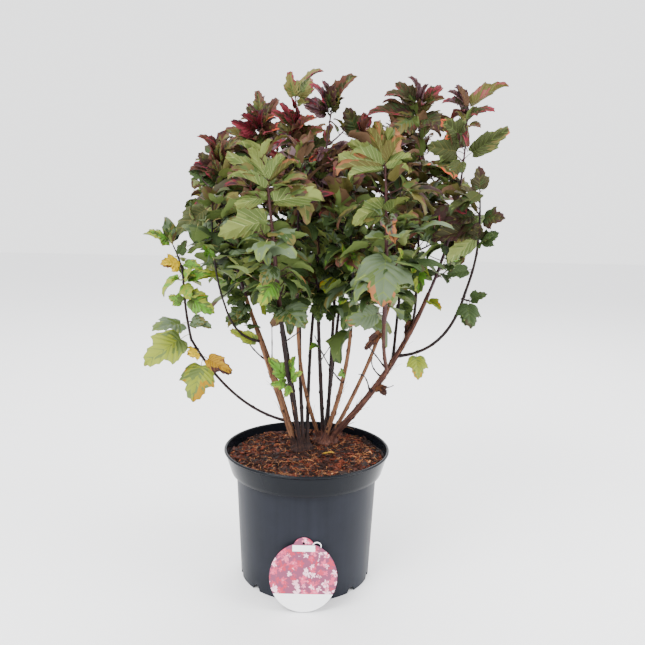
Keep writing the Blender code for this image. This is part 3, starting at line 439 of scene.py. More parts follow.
def through(start, middle, tip, steps):
    """A parabola that starts at start, passes middle half way and ends at tip."""
    return bent(start, 2 * middle - (start + tip) / 2, tip, steps)


def bent(start, control, tip, steps):
    """A parabola drawn out towards its control point: (1-t)^2 start + 2t(1-t) control + t^2 tip."""
    t = np.linspace(0.0, 1.0, steps + 1)[:, None]
    return (1 - t) ** 2 * start + 2 * t * (1 - t) * control + t**2 * tip


def directions(path):
    """The path's direction at each of its points."""
    step = np.gradient(path, axis=0)
    return step / np.linalg.norm(step, axis=1)[:, None]


def leaving_point(path, along):
    """The point at a share of a limb's length, or just past its tip at 1."""
    if along >= 1.0:
        return path[-1] + directions(path)[-1] * GAP
    place = along * (len(path) - 1)
    low = int(place)
    return path[low] + (place - low) * (path[low + 1] - path[low])


def stem_start(stem):
    """The top of the stub that the stem stands on, aimed along the stem's own curve."""
    foot = np.array([*np.add(STOOLS[stem.holder], stem.place), COMPOST_LEVEL + STOOL_HEIGHT])
    aim = unit(2 * np.array(stem.middle) - (foot + np.array(stem.tip)) / 2 - foot)
    return foot + aim * STUB_RISE


def all_limbs():
    """Every limb's path and radii by name, with the row that it comes from."""
    limbs = {}
    for row in LIMBS:
        if row.holder in STOOLS:
            start = stem_start(row)
        else:
            start = leaving_point(limbs[row.holder][0], row.place)
        path = through(start, np.array(row.middle), np.array(row.tip), LIMB_STEPS)
        limbs[row.name] = (path, np.linspace(row.foot_radius, row.tip_radius, LIMB_STEPS + 1), row)
    return limbs


def leader_path(mass, limbs, steps=LEADER_STEPS):
    """The leader carries on the way its limb points, then bends up to its top."""
    limb_path, radii_of_limb, _ = limbs[mass.limb]
    start = leaving_point(limb_path, mass.along)
    top = np.array(mass.top)
    length = np.linalg.norm(top - start)
    aim = unit(top - start)
    start_radius = TWIG_RADIUS
    if mass.along >= 1.0:
        aim = directions(limb_path)[-1]
        start_radius = min(radii_of_limb[-1], LEADER_RADIUS)
    path = bent(start, start + aim * length * LEADER_BEND, top, steps)
    return path, np.linspace(start_radius, TWIG_RADIUS, steps + 1)


def segments(paths):
    """The first points and the steps of every stretch of these paths."""
    starts = np.concatenate([path[:-1] for path in paths])
    steps = np.concatenate([np.diff(path, axis=0) for path in paths])
    return starts, steps


def distances_to(stretches, points):
    """The distance of each point from each stretch of a path."""
    starts, steps = stretches
    offset = points[:, None] - starts[None]
    share = np.clip((offset * steps).sum(2) / (steps**2).sum(1), 0.0, 1.0)
    return np.linalg.norm(offset - share[..., None] * steps, axis=2)


def blade(root, tip, left, right):
    """Points spread evenly over a kite, from just past its root to its tip."""
    along = np.linspace(0.10, 1.0, BLADE_ROWS)[:, None, None]
    across = np.linspace(-0.5, 0.5, BLADE_COLUMNS)[None, :, None]
    width = np.minimum(along / LEAF_BELLY, (1.0 - along) / (1.0 - LEAF_BELLY))
    middle = root + along * (tip - root)
    return (middle + across * width * (right - left)).reshape(-1, 3)


# Which way the upper side of a shown leaf looks
FACINGS = {
    "front": np.array([0.0, -0.88, 0.47]),
    "back": np.array([0.0, 0.80, 0.45]),
    "up": np.array([0.0, -0.25, 0.97]),
}


def camera_turn():
    """The camera's axes: level, pitched down and rolled about the way it looks."""
    return Euler((math.pi / 2 - CAMERA_PITCH, 0.0, 0.0)).to_matrix() @ Matrix.Rotation(CAMERA_ROLL, 3, "Z")


def in_view(points):
    """Where points fall in the photograph, across and down in its pixels, and how far off they are."""
    away = (np.atleast_2d(points) - CAMERA_PLACE) @ np.array(camera_turn())
    seen = away[:, :2] * (1.0, -1.0) * FOCAL_PIXELS / -away[:, 2:] + FRAME_PIXELS / 2
    return np.concatenate([seen, -away[:, 2:]], axis=1)


def out_of_outline(points, open_sides):
    """True where a point falls outside the crown in the photograph, or where the sky shows in it."""
    seen = in_view(points)
    top = np.interp(seen[:, 0], *np.transpose(CROWN_TOP))
    down, left, right = np.transpose(CROWN_SIDES)
    out = seen[:, 1] < top
    if not open_sides:
        out |= seen[:, 0] < np.interp(seen[:, 1], down, left)
        out |= seen[:, 0] > np.interp(seen[:, 1], down, right)
    for across, down, radius in OPEN_PLACES:
        out |= np.hypot(seen[:, 0] - across, seen[:, 1] - down) < radius
    return out


# A twig: its two ends, the share along the leader that it leaves at, its spray, and if it is a finer one
Twig = namedtuple("Twig", "start end share spray fine")


class Growth:
    """The twigs and leaves of one mass, which the source's rule keeps to the mass's own space."""

    def __init__(self, mass, leaders, limbs):
        self.mass = mass
        self.path = leaders[mass.name][0]
        self.ahead = unit(self.path[-1] - self.path[0])
        self.own = segments([self.path])
        self.length = np.linalg.norm(self.own[1], axis=1).sum()
        self.nodes = max(4, int(self.length / INTERNODE))
        self.others = segments([path for name, (path, _) in leaders.items() if name != mass.name])
        self.limbs = segments([path for path, _, _ in limbs.values()])
        self.bark = np.concatenate([radii[:-1] for _, radii, _ in limbs.values()]) + LIMB_MARGIN
        self.draw = default_rng(mass.seed).uniform
        self.tilts = default_rng(mass.seed + 900)
        self.spacing = LEAF_SPACING
        self.twigs = []
        self.leaves = []
        self.spray = 0

    def free(self, points):
        """True where the points are nearer this leader than any other and touch no limb."""
        own = distances_to(self.own, points).min(axis=1) + 2 * CELL_MARGIN
        if (distances_to(self.others, points).min(axis=1) < own).any():
            return False
        return self.clear_of_limbs(points)

    def clear_of_limbs(self, points):
        """True where the points touch no limb and stay within the crown's reach."""
        if (distances_to(self.limbs, points) < self.bark).any():
            return False
        return bool((points > CROWN_LOW).all() and (points < CROWN_HIGH).all())

    def add_leaf(self, root, aim, face, length, **looks):
        """A leaf from its root on a twig, if its place is free."""
        aim = unit(aim)
        side = unit(np.cross(aim, face))
        half_width = side * length * LEAF_WIDTH_SHARE / 2
        tip, belly, heart = (root + aim * length * share for share in (1.0, LEAF_BELLY, LEAF_HEART))
        left, right = belly - half_width, belly + half_width
        outline = np.array([tip, left, right, (tip + left) / 2, (tip + right) / 2,
                            (root + left) / 2, (root + right) / 2, heart, belly])
        if any(np.linalg.norm(leaf["belly"] - belly) < self.spacing for leaf in self.leaves):
            return False
        if not self.free(outline) or not self.clear_of_limbs(blade(root, tip, left, right)):
            return False
        self.keep(root, tip, np.cross(side, aim), **looks)
        return True

    def keep(self, root, tip, face, **looks):
        belly = root + (tip - root) * LEAF_BELLY
        self.leaves.append(dict(root=root, tip=tip, face=face, belly=belly, spray=self.spray,
                                tilt=self.tilts.normal(0.0, SHOWN_TILT, 3), **looks))

    def keep_clear(self, root, tip, aim, face, **looks):
        """A leaf whose upper side looks along face as nearly as it can, if its tip is clear of limbs."""
        if self.clear_of_limbs(tip[None]):
            self.keep(root, tip, face - aim * face.dot(aim), **looks)

    def grow(self):
        """Nodes turn by the golden angle up the leader, and every third one bears a side twig."""
        for row in OUTER_LEAVES:
            if row.holder == self.mass.name:
                place = leaving_point(self.path, row.share)
                aim = np.array(row.tip) - place
                self.add_leaf(place, aim, FRONT_FACE, np.linalg.norm(aim), shown=row)
        turn = self.draw(0, math.tau)
        first = FIRST_NODE if self.mass.along >= 1.0 else FIRST_NODE_OF_SIDE_TWIG
        for node in range(self.nodes):
            share = first + (LAST_NODE - first) * node / (self.nodes - 1)
            place = leaving_point(self.path, share)
            branched = self.length > SHORTEST_BRANCHED and node % SIDE_TWIG_EVERY == 1
            self.spray += 1
            if branched and share < LAST_SIDE_TWIG:
                self.side_twig(place, heading(turn), share)
            else:
                self.leaf_near(place, heading(turn), self.droop(share), 1.0 - UPWARD_SHRINK * share)
            turn += GOLDEN_TURN + self.draw(-0.2, 0.2)
        tuft = self.path[-1] - self.ahead * TWIG_RADIUS
        self.spray += 1
        for leaf in range(TUFT_LEAVES):
            outwards = heading(turn + leaf * math.tau / TUFT_LEAVES)
            self.leaf_near(tuft, outwards, TUFT_RISE + leaf * TUFT_RISE_STEP, TUFT_SIZE)

    def droop(self, share):
        """The rise of a leaf for each step outwards: hanging low down, lifted near the top."""
        return LOW_DROOP + share * (TOP_RISE - LOW_DROOP) + self.draw(-0.45, 0.45)

    def side_twig(self, place, outwards, share):
        """A twig that climbs outwards, with a leaf on each side and one that ends it."""
        swell = math.sin(math.pi * (0.18 + 0.72 * share)) ** 0.7
        reach = self.mass.reach * swell * self.draw(0.5, 0.8)
        aim = unit(outwards + self.ahead * self.draw(0.5, 0.9))
        end = place + aim * reach
        if self.free(np.linspace(place, end, LEADER_STEPS)[1:]):
            self.twigs.append(Twig(place, end, share, self.spray, False))
            sideways = np.cross(aim, UPWARDS)
            for part_way, turn in SIDE_TWIG_NODES:
                root = place + aim * reach * part_way
                self.leaf_near(root, outwards * 0.5 + sideways * turn, self.droop(share), TWIG_LEAF_SIZE)
            place = end - aim * TWIG_TIP_RADIUS
        self.leaf_near(place, outwards, self.droop(share), TWIG_LEAF_SIZE)

    def leaf_near(self, root, outwards, rise, size):
        """Tries a leaf on its bearing, then a little to either side, then smaller."""
        start = math.atan2(outwards[1], outwards[0])
        length = LEAF_LENGTH * size * self.draw(0.88, 1.08)
        roll = self.draw(-0.6, 0.6)
        for smaller, swing, lift in itertools.product(LEAF_SIZES, LEAF_SWINGS, LEAF_LIFTS):
            x, y, _ = heading(start + swing)
            face = UPWARDS + np.array([-y, x, 0.0]) * roll
            if self.add_leaf(root, np.array([x, y, rise + lift]), face, length * smaller):
                return

    def show(self, limbs):
        """The leaves listed one by one, each in place of what the rule put there."""
        paths = {self.mass.name: self.path, self.mass.limb: limbs[self.mass.limb][0]}
        for row in MORE_LEAVES:
            if row.holder in paths:
                root = leaving_point(paths[row.holder], row.share)
                tip = np.array(row.tip)
                belly = root + (tip - root) * LEAF_BELLY
                self.leaves = [leaf for leaf in self.leaves if "shown" in leaf
                               or np.linalg.norm(leaf["belly"] - belly) > FINE_SPACING]
                self.keep(root, tip, FRONT_FACE, shown=row)

    def refine(self):
        """Finer twigs on the side twigs and between the leader's nodes, and young leaves at tips."""
        self.spacing = FINE_SPACING
        size = FINE_LEAF_LENGTH / LEAF_LENGTH
        side_twigs = list(self.twigs)
        for twig in side_twigs:
            self.spray = twig.spray
            aim = unit(twig.end - twig.start)
            sideways = unit(np.cross(aim, UPWARDS))
            for part_way, turn in FINE_TWIG_NODES:
                place = twig.start + (twig.end - twig.start) * part_way
                self.fine_twig(place, aim * 0.6 + sideways * turn, twig.share, size)
        turn = self.draw(0, math.tau)
        for node in range(self.nodes):
            share = 0.10 + 0.88 * (node + 0.5) / self.nodes
            place = leaving_point(self.path, min(share, 0.99))
            self.spray += 1
            if node % 2:
                self.fine_twig(place, heading(turn), share, size)
            else:
                self.leaf_near(place, heading(turn), self.droop(share), size * self.draw(0.9, 1.4))
            turn += GOLDEN_TURN
        self.spray += 1
        self.young_leaves(self.path[-1], self.ahead, YOUNG_LEAVES + 2)
        for twig in side_twigs:
            self.spray = twig.spray
            self.young_leaves(twig.end, unit(twig.end - twig.start), 3)

    def crowd(self):
        """Slender leaves close together up the upper half of a leader and round its side twigs' ends."""
        if self.mass.leaves != "bronze_leaves":
            return
        places = [leaving_point(self.path, share) for share in np.linspace(*CROWDED_REACH, CROWDED_LEAVES)]
        for twig in self.twigs:
            if twig.end[2] > CROWDED_FROM:
                places += [twig.end + (twig.start - twig.end) * back for back in (0.0, 0.15, 0.3, 0.5)]
        turn = self.draw(0, math.tau)
        for number, place in enumerate(places):
            turn += GOLDEN_TURN
            self.spray += number % 5 == 0
            outwards = heading(turn)
            aim = unit(outwards + self.ahead * self.draw(0.3, 1.2))
            tip = place + aim * SLENDER_LEAF_LENGTH * self.draw(0.65, 1.15)
            if place[2] > CROWDED_FROM and self.clear_of_limbs(tip[None]):
                self.keep_clear(place, tip, aim, UPWARDS - outwards * self.draw(0.0, 1.2), slender=True)

    def thicken(self):
        """Short twigs of three leaves each all round a leader, and twice as many on those at the back."""
        if self.mass.name in SIDE_MASSES:
            return
        behind = 2 if self.path[-1][1] > BACK_FROM else 1
        turn = self.draw(0, math.tau)
        for share in np.linspace(*THICKET_REACH, THICKET_TWIGS * behind):
            turn += GOLDEN_TURN
            place = leaving_point(self.path, share)
            outwards = heading(turn)
            aim = unit(outwards + UPWARDS * self.draw(0.0, 0.8))
            end = place + aim * self.mass.reach * self.draw(0.35, 0.80)
            if not self.clear_of_limbs(np.linspace(place, end, 5)[1:]):
                continue
            self.spray += 1
            self.twigs.append(Twig(place, end, share, self.spray, True))
            sideways = np.cross(aim, UPWARDS)
            for along, swing in THICKET_NODES:
                root = place + (end - place) * along
                way = unit(outwards * 0.6 + sideways * swing + UPWARDS * self.draw(-1.0, 0.3))
                tip = root + way * FINE_LEAF_LENGTH * self.draw(0.8, 1.3)
                self.keep_clear(root, tip, way, UPWARDS * 0.7 + outwards * self.draw(0.3, 1.2))

    def fine_twig(self, place, outwards, share, size):
        """A short twig of three small leaves, or one leaf where there's no room for it."""
        aim = unit(unit(outwards) + self.ahead * self.draw(0.4, 1.0))
        end = place + aim * FINE_TWIG_REACH * self.draw(0.6, 1.2)
        if not self.free(np.linspace(place, end, 4)[1:]):
            self.leaf_near(place, outwards, self.droop(share), size)
            return
        self.twigs.append(Twig(place, end, share, self.spray, True))
        sideways = unit(np.cross(aim, UPWARDS + 0.01))
        for root, way, lift in (((place + end) / 2, outwards + sideways, 0.0),
                                (end, outwards - sideways, 0.0), (end, outwards, 0.3)):
            self.leaf_near(root, way, self.droop(share) + lift, size)

    def young_leaves(self, place, ahead, count):
        """Small upright leaves that have yet to unfold, in a ring round a tip."""
        turn = self.draw(0, math.tau)
        for leaf in range(count):
            outwards = heading(turn + leaf * GOLDEN_TURN) * self.draw(0.35, 1.1)
            aim = unit(ahead + outwards)
            tip = place + aim * (YOUNG_LEAF_LENGTH * self.draw(0.6, 1.15))
            self.keep_clear(place, tip, aim, ahead - outwards, young=True)


@functools.lru_cache(maxsize=None)
def crown():
    """Every limb, every leader, and what grows on each leader."""
    limbs = all_limbs()
    leaders = {mass.name: leader_path(mass, limbs) for mass in MASSES}
    growths = [Growth(mass, leaders, limbs) for mass in MASSES]
    for growth in growths:
        if growth.mass.name == "low_left_leaves":
            growth.keep(*np.array(FALLEN_LEAF), shown=ShownLeaf("", 0.0, FALLEN_LEAF[1], "ochre", 0.8, "up"))
        growth.grow()
        growth.show(limbs)
        growth.refine()
        growth.crowd()
        growth.thicken()
    prune(growths, leaders)
    return limbs, leaders, growths


def prune(growths, leaders):
    """Leaves grown by the rule keep to the crown's outline and hide neither shown leaf nor front leader."""
    marks, rooms = [], []
    for leaf in (leaf for growth in growths for leaf in growth.leaves if "shown" in leaf):
        wide = leaf["shown"].wide >= 1.0 or leaf["shown"].facing == "back"
        marks += [leaf["root"] + (leaf["tip"] - leaf["root"]) * share for share in (0.45, 0.7, 0.95)]
        rooms += [SHOWN_LEAF_ROOM if wide else SHOWN_LEAF_ROOM / 2] * 3
    for name in THICK_LEADERS:
        marks += [leaving_point(leaders[name][0], share) for share in np.linspace(0.0, 0.94, 24)]
        rooms += [LEADER_ROOM] * 24
    marks = in_view(np.array(marks))
    rooms = np.array(rooms)

    def stays(leaf, open_sides):
        belly = in_view(leaf["belly"])[0]
        near = np.hypot(*(marks[:, :2] - belly[:2]).T) < rooms
        hides = (near & (marks[:, 2] > belly[2] + 0.004)).any()
        return not hides and not out_of_outline(np.array([leaf["belly"], leaf["tip"]]), open_sides).any()

    for growth in growths:
        shown_only = growth.mass.name in SHOWN_ONLY
        open_sides = growth.mass.name in SIDE_MASSES
        growth.leaves = [leaf for leaf in growth.leaves
                         if "shown" in leaf or not shown_only and stays(leaf, open_sides)]
        roots = np.array([leaf["root"] for leaf in growth.leaves])
        growth.twigs = [twig for twig in growth.twigs if not shown_only
                        and not out_of_outline(twig.end, open_sides).any()
                        and np.linalg.norm(roots - twig.end, axis=1).min() < LEAFLESS_BEYOND]


def field(points, cell, seed):
    """Smooth noise from 0 to 1: random values on a square lattice, blended by the smoothstep curve."""
    values = default_rng(seed).random((64, 64))
    place = points / cell
    low = np.floor(place).astype(int)
    share = place - low
    share = share * share * (3 - 2 * share)
    x, y = low[..., 0] % 64, low[..., 1] % 64
    right, above = (x + 1) % 64, (y + 1) % 64
    bottom = values[x, y] * (1 - share[..., 0]) + values[right, y] * share[..., 0]
    top = values[x, above] * (1 - share[..., 0]) + values[right, above] * share[..., 0]
    return bottom * (1 - share[..., 1]) + top * share[..., 1]


def sunk(path, radii, depth):
    """The path and radii carried back by a depth into what it grows from."""
    foot = path[:1] - directions(path)[0] * depth
    return np.concatenate([foot, path]), np.concatenate([radii[:1], radii])


def turned(radius, turns, height):
    """Points round an upright axis: radius cos a, radius sin a, height."""
    x, y = radius * np.cos(turns), radius * np.sin(turns)
    return np.stack([x, y, np.broadcast_to(height, x.shape)], axis=-1)


def skin(rows, columns, around=True):
    """The quads of a grid of points, closed round its columns or open."""
    row, column = np.indices((rows - 1, columns if around else columns - 1)).reshape(2, -1)
    following = (column + 1) % columns
    return np.stack([row * columns + column, row * columns + following,
                     (row + 1) * columns + following, (row + 1) * columns + column], axis=1)


class Heap:
    """Many shapes gathered into one mesh, each face with its own material slot."""

    def __init__(self):
        self.points = []
        self.faces = []
        self.slots = []
        self.grain = []
        self.count = 0

    def add(self, points, faces, slots=0, grain=None):
        points = np.asarray(points, float).reshape(-1, 3)
        if isinstance(faces, np.ndarray):
            faces = faces.tolist()
        self.faces += [[i + self.count for i in face] for face in faces]
        self.points.append(points)
        self.slots.append(np.broadcast_to(slots, len(faces)))
        self.grain.append(np.zeros_like(points) if grain is None else np.reshape(grain, (-1, 3)))
        self.count += len(points)

    def add_tube(self, path, radii, sides, slots=0, relief=0.0):
        points, faces, grain = tube(path, radii, sides, relief)
        self.add(points, faces, slots, grain)

    def lid(self, points, step=1):
        """One face over a ring of points, read forwards or backwards."""
        self.add(points, [range(len(points))[::step]])

    def piece(self, name, finishes, sharp=40.0):
        """The piece at the origin, riding on the shrub's one body."""
        mesh = bpy.data.meshes.new(name)
        mesh.from_pydata(np.concatenate(self.points), [], self.faces)
        for finish in finishes:
            mesh.materials.append(finish.material)
        mesh.polygons.foreach_set("material_index", np.concatenate(self.slots).astype(np.int32))
        grain = mesh.attributes.new("grain", "FLOAT_VECTOR", "POINT")
        grain.data.foreach_set("vector", np.concatenate(self.grain).astype(np.float32).ravel())
        mesh.update()
        mesh.shade_smooth()
        mesh.set_sharp_from_angle(angle=math.radians(sharp))
        obj = added(name, mesh)
        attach(obj, "root")
        return obj


def tube(path, radii, sides, relief=0.0):
    """Points and faces of a closed tube: rings square to the path, turned as little as can be.

    A ring's point is centre + radius (1 + relief) (cos a across + sin a up).
    """
    along = directions(path)
    across = np.cross(along[0], (0.0, 1.0, 0.0) if abs(along[0][1]) < 0.9 else (1.0, 0.0, 0.0))
    frames = []
    for ahead in along:
        across = unit(across - ahead * np.dot(across, ahead))
        frames.append((across, np.cross(ahead, across)))
    frames = np.array(frames)
    turns = ring(sides)
    cosine, sine = np.cos(turns)[None], np.sin(turns)[None]
    circle = cosine[..., None] * frames[:, None, 0] + sine[..., None] * frames[:, None, 1]
    wide = np.broadcast_to(np.asarray(radii)[:, None], (len(path), sides)) * (1 + relief)
    points = (path[:, None] + circle * wide[..., None]).reshape(-1, 3)
    last = (len(path) - 1) * sides
    faces = skin(len(path), sides).tolist()
    faces += [list(range(sides))[::-1], list(range(last, last + sides))]
    length = np.concatenate([[0.0], np.cumsum(np.linalg.norm(np.diff(path, axis=0), axis=1))])
    length = np.broadcast_to(length[:, None], wide.shape)
    return points, faces, np.stack([cosine * wide, sine * wide, length], axis=2)


def operation(name, reflected=False):
    """A method that makes a Math node of this value and another."""
    def method(self, other):
        return self.maths(name, *((other, self) if reflected else (self, other)))
    return method


class Value:
    """A socket of a material, so that shader maths reads as an expression."""

    __add__ = __radd__ = operation("ADD")
    __sub__ = operation("SUBTRACT")
    __rsub__ = operation("SUBTRACT", reflected=True)
    __mul__ = __rmul__ = operation("MULTIPLY")

    def __init__(self, finish, socket):
        self.finish = finish
        self.socket = socket

    def maths(self, name, *operands):
        return self.finish.node("ShaderNodeMath", {"operation": name}, dict(enumerate(operands)))


class Finish:
    """A material with one Principled shader, whose other nodes all come from one method."""

    def __init__(self, name, colour, roughness, **sockets):
        self.material = bpy.data.materials.new(name)
        self.material.use_nodes = True
        self.tree = self.material.node_tree
        self.shader = self.tree.nodes["Principled BSDF"]
        self.feed("Base Color", (*colour, 1.0))
        self.feed("Roughness", roughness)
        for socket, value in sockets.items():
            self.feed(socket.replace("_", " "), value)
        self.material.diffuse_color = (*colour, 1.0)

    def feed(self, name, value, node=None):
        socket = (node or self.shader).inputs[name]
        if isinstance(value, Value):
            self.tree.links.new(value.socket, socket)
        else:
            socket.default_value = value

    def node(self, kind, settings, sockets, output=0):
        """A node of a type, its settings first, then the values or links of its sockets."""
        made = self.tree.nodes.new(kind)
        for setting, value in settings.items():
            setattr(made, setting, value)
        for socket, value in sockets.items():
            self.feed(socket, value, made)
        return Value(self, made.outputs[output])

    def vector(self, name, *operands, output=0, **sockets):
        """Vector maths."""
        sockets = {**dict(enumerate(operands)), **sockets}
        return self.node("ShaderNodeVectorMath", {"operation": name}, sockets, output)

    def axis(self, vector, name):
        return self.node("ShaderNodeSeparateXYZ", {}, {"Vector": vector}, name)

    def place(self, scale=(1.0, 1.0, 1.0)):
        """Object coordinates, drawn out by a scale."""
        coordinates = self.node("ShaderNodeTexCoord", {}, {}, "Object")
        return self.node("ShaderNodeMapping", {}, {"Vector": coordinates, "Scale": scale})

    def grain(self, *scale):
        """Coordinates that follow a limb: round it in the first two, along it in the third."""
        attribute = self.node("ShaderNodeAttribute", {"attribute_name": "grain"}, {}, "Vector")
        return self.node("ShaderNodeMapping", {}, {"Vector": attribute, "Scale": scale})

    def noise(self, vector, scale, detail=3.0, roughness=0.55):
        return self.node("ShaderNodeTexNoise", {},
                         {"Vector": vector, "Scale": scale, "Detail": detail, "Roughness": roughness})

    def stretch(self, value, low, high):
        """The value drawn out so that low becomes 0 and high 1, and held between them."""
        return self.node("ShaderNodeMapRange", {}, {"Value": value, "From Min": low, "From Max": high})

    def mix(self, share, low, high):
        """A colour between two others."""
        low, high = (value if isinstance(value, Value) else (*value[:3], 1.0) for value in (low, high))
        return self.node("ShaderNodeMix", {"data_type": "RGBA"}, {"Factor": share, 6: low, 7: high}, 2)

    def bump(self, height, distance, strength=1.0):
        sockets = {"Height": height, "Distance": distance, "Strength": strength}
        self.feed("Normal", self.node("ShaderNodeBump", {}, sockets))


def paint(name, description, *thousandths):
    return bpy.props.FloatVectorProperty(name=name, description="Colour: " + description.lower(), size=3,
                                         default=[part / 1000 for part in thousandths],
                                         subtype="COLOR", min=0.0, max=1.0)


def length_property(name, description, default):
    return bpy.props.FloatProperty(name=name, description=description, default=default,
                                   unit="LENGTH", subtype="DISTANCE", min=0.0, precision=4)


def added(name, data):
    """A new object of the scene."""
    obj = bpy.data.objects.new(name, data)
    bpy.context.scene.collection.objects.link(obj)
    return obj


class ShrubPotLook(bpy.types.PropertyGroup):
    """The pot's and the compost's colours and sizes."""

    plastic: paint("Plastic", "Pot's black plastic", 4, 5, 7)
    # This colour is partly dust and partly a painted sheen: a lighter, bluish copy of the black plastic
    dust_and_sheen: paint("Dust", "Dust on the pot", 19, 21, 30)
    bark_red: paint("Red chips", "Compost's fresh chips", 155, 32, 14)
    bark_brown: paint("Brown chips", "Compost's older chips", 26, 10, 7)
    bark_pale: paint("Pale chips", "Compost's split wood", 420, 210, 85)
    soil: paint("Soil", "Fine compost", 6, 4, 4)
    chip_length: length_property("Chip length", "Length of a bark chip", 0.0058)


class ShrubBarkLook(bpy.types.PropertyGroup):
    """The colours of the bark, twigs and leaf stalks."""

    tan: paint("Tan bark", "Peeling tan bark", 240, 112, 54)
    tan_dark: paint("Tan bark furrows", "Between the strips of tan bark", 48, 22, 15)
    dark: paint("Dark bark", "Dark bark", 11, 6, 6)
    dark_light: paint("Dark bark streaks", "Streaks on dark bark", 38, 17, 14)
    red: paint("Red bark", "Red-brown bark", 120, 48, 30)
    red_dark: paint("Red bark furrows", "Between the strips of red bark", 36, 15, 13)
    purple_twig: paint("Purple twigs", "Upper shoots", 30, 11, 15)
    red_twig: paint("Red twigs", "Front shoots", 38, 13, 12)
    green_stalk: paint("Green stalks", "Pale leaf stalks", 270, 230, 80)


class ShrubLeafLook(bpy.types.PropertyGroup):
    """The plain colours that the leaves are dealt."""

    deep: paint("Deep green", "Shaded upper sides", 28, 48, 14)
    moss: paint("Moss green", "Dark upper sides near the top", 36, 44, 12)
    leaf: paint("Leaf green", "Common upper sides", 60, 88, 22)
    bright: paint("Bright green", "Fresh upper sides", 88, 205, 22)
    grey: paint("Grey green", "Dull upper sides", 80, 110, 60)
    lime: paint("Yellow green", "Upper sides that turn", 190, 225, 22)
    olive: paint("Olive", "Upper sides with some red", 88, 76, 20)
    khaki: paint("Khaki", "Lit upper sides with some red", 120, 106, 30)
    dusk: paint("Dark olive", "Dark upper sides with some red", 30, 27, 10)
    bronze: paint("Bronze", "Red-brown upper sides", 72, 27, 17)
    umber: paint("Dark bronze", "Dark red-brown upper sides", 28, 11, 9)
    purple: paint("Purple", "Purple upper sides", 40, 14, 20)
    mauve: paint("Mauve", "Dusky grey-purple upper sides", 88, 50, 56)
    crimson: paint("Crimson", "Crimson patches", 135, 15, 24)
    rose: paint("Rose", "Rosy patches", 200, 58, 50)
    orange: paint("Orange", "Orange-red edges", 360, 58, 22)
    rust: paint("Rust", "Scorched edges", 210, 82, 30)
    ochre: paint("Ochre", "Dying upper sides", 270, 150, 5)
    yellow: paint("Yellow", "Yellow upper sides", 640, 430, 14)
    brown: paint("Brown", "Dead edges and leaves", 90, 34, 15)
    pale: paint("Pale underside", "Lit undersides", 150, 180, 46)
    soft: paint("Green underside", "Undersides of green leaves", 100, 138, 36)
    fawn: paint("Bronze underside", "Undersides of bronze leaves", 105, 60, 32)
    straw: paint("Pale veins", "Veins of green leaves", 255, 290, 100)
    wine: paint("Red veins", "Veins of bronze leaves", 105, 24, 21)


class ShrubTagLook(bpy.types.PropertyGroup):
    """The tag's colours."""

    card: paint("Card", "Plain card", 850, 850, 860)
    ground: paint("Ground", "Behind the printed blossoms", 190, 35, 85)
    petal: paint("Petal", "Printed petals", 620, 60, 150)
    pale_petal: paint("Pale petal", "Paler petals", 880, 520, 620)
    deep_petal: paint("Deep petal", "Deeper petals", 420, 12, 50)


class ShrubStageLook(bpy.types.PropertyGroup):
    """The stage's sizes and light."""

    floor_radius: length_property("Floor radius", "Radius of the pale floor", 6.0)
    floor: paint("Floor", "Floor", 880, 880, 890)
    key_power: bpy.props.FloatProperty(name="Key light", description="Power of the main softbox",
                                       default=115.0, min=0.0, unit="POWER")
    world_strength: bpy.props.FloatProperty(name="Surround", description="Strength of the pale surround",
                                            default=2.3, min=0.0)


def look(group):
    return getattr(bpy.context.scene, "shrub_" + group)


def wall_radius(height):
    """The outer radius of the pot's tapering body at a height."""
    return POT_FOOT_RADIUS + height / BAND_FOOT * (POT_BODY_TOP_RADIUS - POT_FOOT_RADIUS)


def arc(centre, radius, first, last, count):
    """Points of (radius, height) along an arc, its angles in degrees from outwards to upwards."""
    turns = np.radians(np.linspace(first, last, count))
    return [(centre[0] + radius * math.cos(turn), centre[1] + radius * math.sin(turn)) for turn in turns]


def pot_plastic():
    colours = look("pot")
    finish = Finish("pot_plastic", colours.plastic, 0.30, Specular_IOR_Level=0.11)
    place = finish.place()
    cloud = finish.noise(place, 14.0, 4.0)
    streaks = finish.noise(finish.place((60.0, 60.0, 4.0)), 1.0)
    specks = finish.noise(place, 900.0, 2.0)
    below = finish.stretch(finish.axis(place, "Z"), BAND_FOOT + 0.001, BAND_FOOT - 0.004)
    film = finish.stretch(cloud * 0.6 + streaks * 0.4, 0.36, 0.72)
    dots = finish.stretch(specks, 0.72, 0.78)
    # Painted sheen and dust: a film of the lighter colour, heaviest below the band, with fine dust specks
    dust_and_sheen = (film * 0.45 + 0.30) * (below * 0.85 + 0.15) + dots * 0.25
    finish.feed("Base Color", finish.mix(dust_and_sheen, colours.plastic, colours.dust_and_sheen))
    finish.feed("Roughness", film * 0.14 + below * 0.20 + 0.14)
    finish.bump(cloud * 0.7 + finish.noise(place, 260.0, 2.0) * 0.06, 0.0009, 0.35)
    return finish


